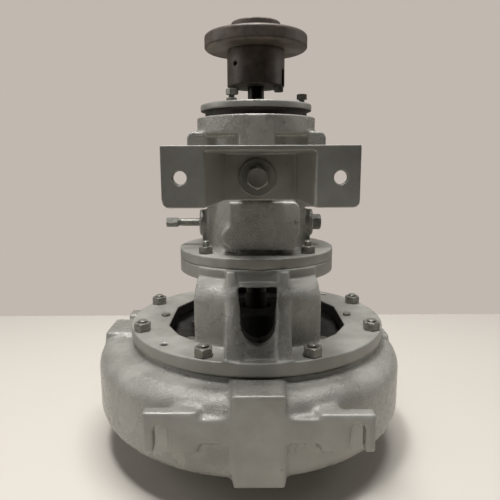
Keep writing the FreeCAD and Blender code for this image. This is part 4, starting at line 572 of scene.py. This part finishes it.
def threaded_rod(radius, low, high, thread_from, pitch, dome=1.2):
    """A rod whose upper part is threaded and whose end is domed.

    In the thread the radius falls from its crest by a triangle wave of height less turn.
    """
    depth = 0.55 * pitch
    heights = np.arange(thread_from, high - dome, pitch / 4.0)
    profile = [(0.0, low), (radius, low), (radius, thread_from - 0.5 * pitch)]
    for height in heights:
        phase = (height / pitch - ring_angles / (2.0 * math.pi)) % 1.0
        wave = 2.0 * np.abs(phase - 0.5)
        profile.append((radius - depth * (1.0 - wave), height))
    core = radius - depth * 0.6
    steps = np.linspace(0.0, math.pi / 2.0, 5)
    profile += [(core * math.cos(k), high - dome + dome * math.sin(k)) for k in steps[:-1]]
    profile.append((0.0, high))
    return revolve(profile)


def upright_at(rings, axis, base, turn=0.0, upside_down=False):
    """Rings moved to an axis at X, Y and a base level, turned about it, or hung from it."""
    sign = -1.0 if upside_down else 1.0
    cos, sin = math.cos(turn), math.sin(turn)
    x, y, z = rings[..., 0], rings[..., 1] * sign, rings[..., 2] * sign
    return np.stack([x * cos - y * sin + axis[0], x * sin + y * cos + axis[1], z + base], axis=-1)


def welded_mesh(name, shapes, sharp_degrees=32.0):
    """One mesh of closed rings of points, with quads between rings, poles closed, faces out."""
    points, faces, first = [], [], 0
    for rings in shapes:
        count, around = rings.shape[:2]
        row = first + np.arange(count - 1)[:, None] * around
        column = np.arange(around)[None, :]
        after = (column + 1) % around
        quads = np.stack([row + column, row + after, row + around + after, row + around + column])
        faces.append(quads.reshape(4, -1).T)
        points.append(rings.reshape(-1, 3))
        first += count * around
    mesh = bpy.data.meshes.new(name)
    mesh.from_pydata(np.concatenate(points).tolist(), [], np.concatenate(faces).tolist())
    closed = bmesh.new()
    closed.from_mesh(mesh)
    bmesh.ops.remove_doubles(closed, verts=closed.verts, dist=0.002 * MM)
    bmesh.ops.recalc_face_normals(closed, faces=closed.faces)
    closed.to_mesh(mesh)
    closed.free()
    mesh.polygons.foreach_set("use_smooth", np.ones(len(mesh.polygons), bool))
    mesh.set_sharp_from_angle(angle=math.radians(sharp_degrees))
    return mesh


def replace_with(node_name, shapes, material):
    """Makes one piece of worked-out shapes stand for a node."""
    mesh = welded_mesh(f"{node_name}_detailed", shapes)
    body = nodes[node_name]["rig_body"]
    return add_piece(f"{node_name}_detailed", mesh, body, [material], (node_name,))


def nuts_on(node_name, flats, bore):
    """Detailed nuts where a node has plain ones."""
    shapes = []
    for axis, group in solid_boxes(node_name):
        low, high = group[:, 2].min(), group[:, 2].max()
        nut = hex_nut(flats, (high - low) / MM, bore)
        shapes.append(upright_at(nut, axis, low, corner_angle(axis, group)))
    replace_with(node_name, shapes, fastener_steel)


def studs_on(node_name, radius, threaded, pitch):
    """Detailed studs where a node has plain ones, threaded over their upper part."""
    shapes = []
    for axis, group in solid_boxes(node_name):
        low, high = group[:, 2].min(), group[:, 2].max()
        length = (high - low) / MM
        stud = threaded_rod(radius, 0.0, length, length - threaded, pitch)
        shapes.append(upright_at(stud, axis, low))
    replace_with(node_name, shapes, fastener_steel)


def bolts_on(node_name, pitch, hung=False):
    """Detailed hexagon bolts where a node has plain ones, their heads up, or down if hung."""
    shapes = []
    for axis, group in solid_boxes(node_name):
        away = np.hypot(*(group[:, :2] - axis).T)
        head = group[away > 0.9 * away.max()]
        low, high = head[:, 2].min(), head[:, 2].max()
        tip = group[:, 2].max() if hung else group[:, 2].min()
        under = high if hung else low
        shank = away[np.abs(group[:, 2] - tip) < 0.05 * MM].max() / MM
        length = abs(tip - under) / MM
        turn = corner_angle(axis, head)
        cap = hex_head(away.max() / MM * math.sqrt(3.0), (high - low) / MM)
        rod = threaded_rod(shank, -0.5, length, 0.5 * pitch, pitch)
        shapes.append(upright_at(cap, axis, under, turn, upside_down=hung))
        shapes.append(upright_at(rod, axis, under, turn, upside_down=not hung))
    replace_with(node_name, shapes, fastener_steel)


CASING_STUD_RADIUS = 6.35
CASING_STUD_PITCH = 1.95
CASING_NUT_FLATS = 20.0
nuts_on("casing_nuts", CASING_NUT_FLATS, CASING_STUD_RADIUS + 0.05)
studs_on("casing_studs", CASING_STUD_RADIUS, 17.0, CASING_STUD_PITCH)
bolts_on("jack_screws", 1.25)
bolts_on("cover_cap_screws", 1.5)

# Bearing frame: an iron casting with its front box, ears and bosses, turned on the
# lower flange and at the top, bored right through for the two bearings.

frame_low, frame_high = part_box("bearing_frame")
FRAME_ABOVE_FLANGE = 176.0
flange_top = frame_high.z - FRAME_ABOVE_FLANGE * MM


def frame_machined(p):
    """The lower flange, the top face and the bores."""
    radius = np.hypot(p[:, 0], p[:, 1])
    flange = within(p[:, 2] - flange_top, 0.2, 2.5) * (radius > 80.0 * MM)
    top = within(frame_high.z - p[:, 2], 1.0, 1.5)
    bores = (radius < 57.0 * MM).astype(float)
    return np.maximum.reduce([flange, top, bores])


casting_skin("bearing_frame", 1.8, 3, frame_machined, 0.12)

FRAME_STUD_RADIUS = 4.75
FRAME_STUD_PITCH = 1.59
FRAME_NUT_FLATS = 17.0
nuts_on("frame_nuts", FRAME_NUT_FLATS, FRAME_STUD_RADIUS + 0.05)
studs_on("frame_studs", FRAME_STUD_RADIUS, 17.0, FRAME_STUD_PITCH)

# Support foot: 8 mm steel plate bent into a hat, with a shelf welded along its top,
# sprayed with the same enamel. Its one bolt has a thick washer.


def rolled_plate(p):
    """Rolled plate is smooth: it keeps three quarters of its true edges."""
    return np.full(len(p), 0.75)


casting_skin("support_foot", 1.5, 3, rolled_plate, 0.04)


def facing_front(rings, centre, turn):
    """Rings laid with their axis along -Y, from a centre, after a turn about that axis."""
    cos, sin = math.cos(turn), math.sin(turn)
    x = rings[..., 0] * cos - rings[..., 1] * sin
    z = rings[..., 0] * sin + rings[..., 1] * cos
    return np.stack([x + centre[0], centre[1] - rings[..., 2], z + centre[2]], axis=-1)


def middle_of(node_name):
    """The middle of a node's box."""
    low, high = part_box(node_name)
    return (low + high) / 2.0


def washer(outer, bore, thickness, edge):
    """A flat ring whose outer corners are rounded by a small chamfer."""
    return revolve(
        [
            (bore, 0.0),
            (outer - edge, 0.0),
            (outer, edge),
            (outer, thickness - edge),
            (outer - edge, thickness),
            (bore, thickness),
            (bore, 0.0),
        ]
    )


bolt_low, bolt_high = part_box("foot_bolt")
washer_low, washer_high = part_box("foot_washer")
bolt_middle = middle_of("foot_bolt")
FOOT_BOLT_FLATS = 24.0
FOOT_BOLT_HEAD = 10.0
FOOT_BOLT_RADIUS = 7.9
FOOT_BOLT_PITCH = 2.31
head_seat = (bolt_middle.x, bolt_low.y + FOOT_BOLT_HEAD * MM, bolt_middle.z)
shank_length = (bolt_high.y - head_seat[1]) / MM
foot_bolt_head = hex_head(FOOT_BOLT_FLATS, FOOT_BOLT_HEAD, dished=0.5)
foot_bolt_shank = threaded_rod(
    FOOT_BOLT_RADIUS, -0.5, shank_length, shank_length - 38.0, FOOT_BOLT_PITCH
)
CORNER_UP = math.pi / 6.0
# The bolt and washer take the darker enamel: painted shade under the foot's shelf.
replace_with(
    "foot_bolt",
    [
        facing_front(foot_bolt_head, head_seat, CORNER_UP),
        facing_front(foot_bolt_shank * (1.0, -1.0, -1.0), head_seat, 0.0),
    ],
    shaded_enamel,
)
washer_seat = (bolt_middle.x, washer_high.y, bolt_middle.z)
washer_thickness = (washer_high.y - washer_low.y) / MM
washer_radius = (washer_high.x - washer_low.x) / 2.0 / MM
replace_with(
    "foot_washer",
    [facing_front(washer(washer_radius, 8.2, washer_thickness, 0.8), washer_seat, 0.0)],
    shaded_enamel,
)

# Drain pipe at the left: a short steel nipple screwed into a boss, closed by a cap. The
# plug at the right is a plain hexagon plug. All were sprayed with the frame.


def facing_side(rings, centre, turn, sign):
    """Rings laid with their axis along X, to the right or, with a sign of -1, to the left."""
    cos, sin = math.cos(turn), math.sin(turn)
    y = rings[..., 0] * cos - rings[..., 1] * sin
    z = rings[..., 0] * sin + rings[..., 1] * cos
    return np.stack([centre[0] + sign * rings[..., 2], centre[1] + sign * y, z + centre[2]], axis=-1)


def pipe_piece(length, outer, bore, thread, pitch):
    """A pipe along its axis with a thread at each end; the radius falls by a triangle wave."""
    depth = 0.5 * pitch
    heights = np.arange(0.4, length - 0.4, pitch / 4.0)
    profile = [(bore, 0.0), (outer - depth, 0.0)]
    for height in heights:
        is_threaded = height < thread or height > length - thread
        phase = (height / pitch - ring_angles / (2.0 * math.pi)) % 1.0
        wave = 1.0 - 2.0 * np.abs(phase - 0.5)
        profile.append((outer - depth * wave * float(is_threaded), height))
    profile += [(outer - depth, length), (bore, length), (bore, 0.0)]
    return revolve(profile)


def pipe_cap_shape(length, flats, bore, depth):
    """A hexagon cap, open at its inner end, whose far corners are cut by a cone."""
    side = hexagon(flats)
    face = 0.47 * flats
    drop = np.clip(side - face, 0.0, None) * math.tan(math.radians(30.0))
    return revolve(
        [
            (0.0, depth),
            (bore, depth),
            (bore, 0.0),
            (face, 0.0),
            (side, drop),
            (side, length - drop),
            (face, length),
            (0.0, length),
        ]
    )


nipple_low, nipple_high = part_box("pipe_nipple")
cap_low, cap_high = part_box("pipe_cap")
CAP_TURN = math.pi / 2.0 if cap_high.z - cap_low.z < cap_high.y - cap_low.y else 0.0
nipple_middle = middle_of("pipe_nipple")
NIPPLE_BORE = 3.5
NIPPLE_PITCH = 1.41
CAP_FLATS = 12.5
CAP_BORE = 5.35
CAP_DEPTH = 3.5
nipple_length = (nipple_high.x - nipple_low.x) / MM
nipple = pipe_piece(
    nipple_length, (nipple_high.z - nipple_low.z) / 2.0 / MM, NIPPLE_BORE, 8.0, NIPPLE_PITCH
)
replace_with(
    "pipe_nipple",
    [facing_side(nipple, (nipple_high.x, nipple_middle.y, nipple_middle.z), 0.0, -1.0)],
    fastener_steel,
)
cap = pipe_cap_shape((cap_high.x - cap_low.x) / MM, CAP_FLATS, CAP_BORE, CAP_DEPTH)
replace_with(
    "pipe_cap",
    [facing_side(cap, (cap_high.x, nipple_middle.y, nipple_middle.z), CAP_TURN, -1.0)],
    fastener_steel,
)
plug_low, plug_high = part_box("frame_plug")
plug_middle = middle_of("frame_plug")
PLUG_FLATS = 19.0
PLUG_HEAD = 12.0
PLUG_RADIUS = 8.0
PLUG_PITCH = 1.81
plug_seat = (plug_high.x - PLUG_HEAD * MM, plug_middle.y, plug_middle.z)
plug_length = (plug_seat[0] - plug_low.x) / MM
replace_with(
    "frame_plug",
    [
        facing_side(hex_head(PLUG_FLATS, PLUG_HEAD), plug_seat, CORNER_UP, 1.0),
        facing_side(
            threaded_rod(PLUG_RADIUS, -0.5, plug_length, 1.0, PLUG_PITCH), plug_seat, 0.0, -1.0
        ),
    ],
    fastener_steel,
)

# Bearing end cover: a turned iron disc on a smaller neck. The disc is painted with the
# frame; the neck under it, in the disc's shade, takes dark iron as painted shade.

end_low, end_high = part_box("bearing_cover")
DISC_THICKNESS = 8.5


def all_machined(p):
    """A piece that is turned all over."""
    return np.full(len(p), 0.8)


def end_cover_neck(p, normal):
    """All that lies under the end cover's disc, which takes dark iron as painted shade."""
    return p[:, 2] < end_high.z - (DISC_THICKNESS - 0.6) * MM


casting_skin("bearing_cover", 1.4, 3, all_machined, 0.05, painted_shade_mask=end_cover_neck)
bolts_on("cover_bolts", 1.25)
nuts_on("cover_jam_nut", 13.0, 4.05)

# Coupling half: a cast iron hub and a flange disc, turned and left bare. The iron has
# browned to a near-black oxide; grey overspray from the pump shows on the lower faces.


def browned_iron(name):
    """Bare iron under a thin even rust, blotched every 16 mm, grey where spray drifted up.

    The drift lies on what faces down: the normal's Z, roughened by the blotches, picks it.
    """
    material, tree = new_material(name)
    sides = add_node(tree, "TexCoord")
    place = sides.outputs["Object"]
    stain = add_node(
        tree, "TexNoise", {"Scale": per_metre(16), "Detail": 6.0, "Roughness": 0.65}, {"Vector": place}
    )
    pores = add_node(
        tree, "TexNoise", {"Scale": per_metre(1.8), "Detail": 3.0, "Roughness": 0.7}, {"Vector": place}
    )
    tone = add_node(tree, "ValToRGB", links={"Fac": stain.outputs["Fac"]})
    tone.color_ramp.elements[0].position = 0.35
    tone.color_ramp.elements[0].color = linear("#4a413c")
    tone.color_ramp.elements[1].position = 0.68
    tone.color_ramp.elements[1].color = linear("#6a5f56")
    drifts = add_node(tree, "TexNoise", {"Scale": per_metre(70), "Detail": 3.0}, {"Vector": place})
    facing = add_node(tree, "SeparateXYZ", links={0: sides.outputs["Normal"]})
    drift = add_node(
        tree,
        "Math",
        {1: -0.55},
        {0: facing.outputs["Z"], 2: drifts.outputs["Fac"]},
        operation="MULTIPLY_ADD",
    )
    share = add_node(
        tree,
        "MapRange",
        {"From Min": 1.0, "From Max": 1.15, "To Min": 0.0, "To Max": 0.6},
        {"Value": drift.outputs[0]},
    )
    colour = add_node(
        tree,
        "Mix",
        {7: linear("#8d8a80")},
        {0: share.outputs["Result"], 6: tone.outputs["Color"]},
        data_type="RGBA",
    )
    bump = add_node(
        tree, "Bump", {"Strength": 1.0, "Distance": 0.12 * MM}, {"Height": pores.outputs["Fac"]}
    )
    shader = add_node(
        tree,
        "BsdfPrincipled",
        {"Roughness": 0.5, "Metallic": 0.2},
        {"Base Color": colour.outputs[2], "Normal": bump.outputs["Normal"]},
    )
    add_node(tree, "OutputMaterial", links={"Surface": shader.outputs["BSDF"]})
    return material


coupling_iron = browned_iron("browned_cast_iron")
for coupling_node in ("coupling_hub", "coupling_flange"):
    half = casting_skin(coupling_node, 1.3, 2, all_machined, 0.05)
    half.data.materials[0] = coupling_iron
    half.data.materials[1] = coupling_iron
bolts_on("coupling_screws", 1.25, hung=True)

# Shaft, sleeve, bearings, seals and gaskets: inside the pump or in its shade, so they
# keep the model's own shapes. Steel is turned; shaft steel and bronze are near-black as painted shade,
# rubber matt.

# Shaft steel and bronze are near-black: painted shade for the dark inside of the yoke.
shaded_shaft_steel = dull_zinc("shaft_steel_painted_shade", "#161412", "#26231f", 0.35, 0.5)
bearing_steel = dull_zinc("ground_bearing_steel", "#b0b0ae", "#c8c8c6", 0.18, 0.9)
bronze = dull_zinc("bronze_painted_shade", "#1e1913", "#30271a", 0.45, 0.5)


def plain_moulding(name, dark, light, rough):
    """A matt moulded or pressed surface with a faint mottle."""
    material, tree = new_material(name)
    place = add_node(tree, "TexCoord").outputs["Object"]
    mottle = add_node(tree, "TexNoise", {"Scale": per_metre(2), "Detail": 4.0}, {"Vector": place})
    tone = add_node(tree, "ValToRGB", links={"Fac": mottle.outputs["Fac"]})
    tone.color_ramp.elements[0].color = linear(dark)
    tone.color_ramp.elements[1].color = linear(light)
    shader = add_node(
        tree, "BsdfPrincipled", {"Roughness": rough}, {"Base Color": tone.outputs["Color"]}
    )
    add_node(tree, "OutputMaterial", links={"Surface": shader.outputs["BSDF"]})
    return material


finishes = {
    "casing_enamel": smooth_enamel,
    "coupling_iron": coupling_iron,
    "impeller_iron": coupling_iron,
    "fastener_steel": fastener_steel,
    "shaft_steel": shaded_shaft_steel,
    "bearing_steel": bearing_steel,
    "bronze": bronze,
    "seal_ceramic": plain_moulding("lapped_ceramic", "#d8d5cc", "#e4e1d8", 0.2),
    "seal_rubber": plain_moulding("moulded_rubber", "#1c1c1c", "#262625", 0.6),
    "gasket_fibre": plain_moulding("pressed_fibre", "#2e302b", "#3a3c35", 0.8),
}
slot_of = {row["node"]: row["material_slot"] for row in frame["record"]["subparts"]}
for name, item in nodes.items():
    item.data.materials.clear()
    item.data.materials.append(finishes[slot_of[name]])

# Table and light: a pale table top, one broad lamp overhead and one at each side. The
# wall behind is pale and the room in front is dark, which the front of the pump mirrors.

TABLE_BACK = 0.56
TABLE_FRONT = -0.6
TABLE_HALF_WIDTH = 1.2
table_mesh = bpy.data.meshes.new("table_top")
table_mesh.from_pydata(
    [
        (-TABLE_HALF_WIDTH, TABLE_FRONT, 0.0),
        (TABLE_HALF_WIDTH, TABLE_FRONT, 0.0),
        (TABLE_HALF_WIDTH, TABLE_BACK, 0.0),
        (-TABLE_HALF_WIDTH, TABLE_BACK, 0.0),
    ],
    [],
    [(0, 1, 2, 3)],
)
table = bpy.data.objects.new("table_top", table_mesh)
bpy.context.scene.collection.objects.link(table)
table_paint, table_tree = new_material("white_table_laminate")
table_shader = add_node(
    table_tree, "BsdfPrincipled", {"Base Color": linear("#cfc9c0"), "Roughness": 0.6}
)
add_node(table_tree, "OutputMaterial", links={"Surface": table_shader.outputs["BSDF"]})
table_mesh.materials.append(table_paint)

room = bpy.data.worlds.new("studio")
bpy.context.scene.world = room
room.use_nodes = True
room_tree = room.node_tree
room_tree.nodes.clear()
looking = add_node(room_tree, "LightPath")
heading = add_node(room_tree, "SeparateXYZ", links={0: add_node(room_tree, "TexCoord").outputs["Generated"]})
to_wall = add_node(
    room_tree,
    "MapRange",
    {"From Min": -0.2, "From Max": 0.7},
    {"Value": heading.outputs["Y"]},
)
shade = add_node(
    room_tree,
    "Mix",
    {6: linear("#2a2926"), 7: linear("#aaa398")},
    {0: to_wall.outputs["Result"]},
    data_type="RGBA",
)
shine = add_node(room_tree, "Background", {"Strength": 0.6}, {"Color": shade.outputs[2]})
wall = add_node(room_tree, "Background", {"Color": linear("#c1b8b0"), "Strength": 1.0})
seen = add_node(
    room_tree,
    "MixShader",
    {},
    {0: looking.outputs["Is Camera Ray"], 1: shine.outputs[0], 2: wall.outputs[0]},
)
add_node(room_tree, "OutputWorld", links={"Surface": seen.outputs[0]})


def soft_lamp(name, place, target, width, height, power):
    """A rectangular soft box that points from its place at a target."""
    lamp = bpy.data.lights.new(name, "AREA")
    lamp.shape = "RECTANGLE"
    lamp.size = width
    lamp.size_y = height
    lamp.energy = power
    holder = bpy.data.objects.new(name, lamp)
    bpy.context.scene.collection.objects.link(holder)
    aim = Vector(target) - Vector(place)
    holder.matrix_world = Matrix.Translation(place) @ aim.to_track_quat("-Z", "Y").to_matrix().to_4x4()
    return holder


PUMP_MIDDLE = (0.0, 0.0, 0.3)
soft_lamp("overhead_box", (0.0, -0.1, 2.1), PUMP_MIDDLE, 1.2, 0.6, 40.0)
soft_lamp("bright_box", (-0.25, -0.45, 1.9), PUMP_MIDDLE, 0.2, 0.2, 13.0)
soft_lamp("left_box", (-1.65, -0.15, 0.95), PUMP_MIDDLE, 0.8, 1.0, 6.0)
soft_lamp("right_box", (1.7, 0.3, 1.0), PUMP_MIDDLE, 0.8, 1.0, 4.0)
soft_lamp("front_strip", (0.0, -0.62, 0.09), (0.0, -0.2, 0.05), 0.8, 0.06, 0.2)

# Camera: the photograph's place, tilt and field of view.

FOCAL_PIXELS = 492.6
PICTURE_PIXELS = 500.0
SENSOR_MM = 36.0
CAMERA_PLACE = (-0.0090, -0.7021, 0.4009)
CAMERA_PITCH = math.radians(10.11)
CAMERA_ROLL = math.radians(-0.247)

lens = bpy.data.cameras.new("photograph_view")
lens.sensor_width = SENSOR_MM
lens.lens = FOCAL_PIXELS / PICTURE_PIXELS * SENSOR_MM
lens.clip_start = 0.01
camera = bpy.data.objects.new("photograph_view", lens)
bpy.context.scene.collection.objects.link(camera)
camera.matrix_world = (
    Matrix.Translation(CAMERA_PLACE)
    @ Matrix.Rotation(math.pi / 2.0 - CAMERA_PITCH, 4, "X")
    @ Matrix.Rotation(CAMERA_ROLL, 4, "Z")
)
bpy.context.scene.camera = camera
bpy.context.scene.view_settings.view_transform = "Standard"
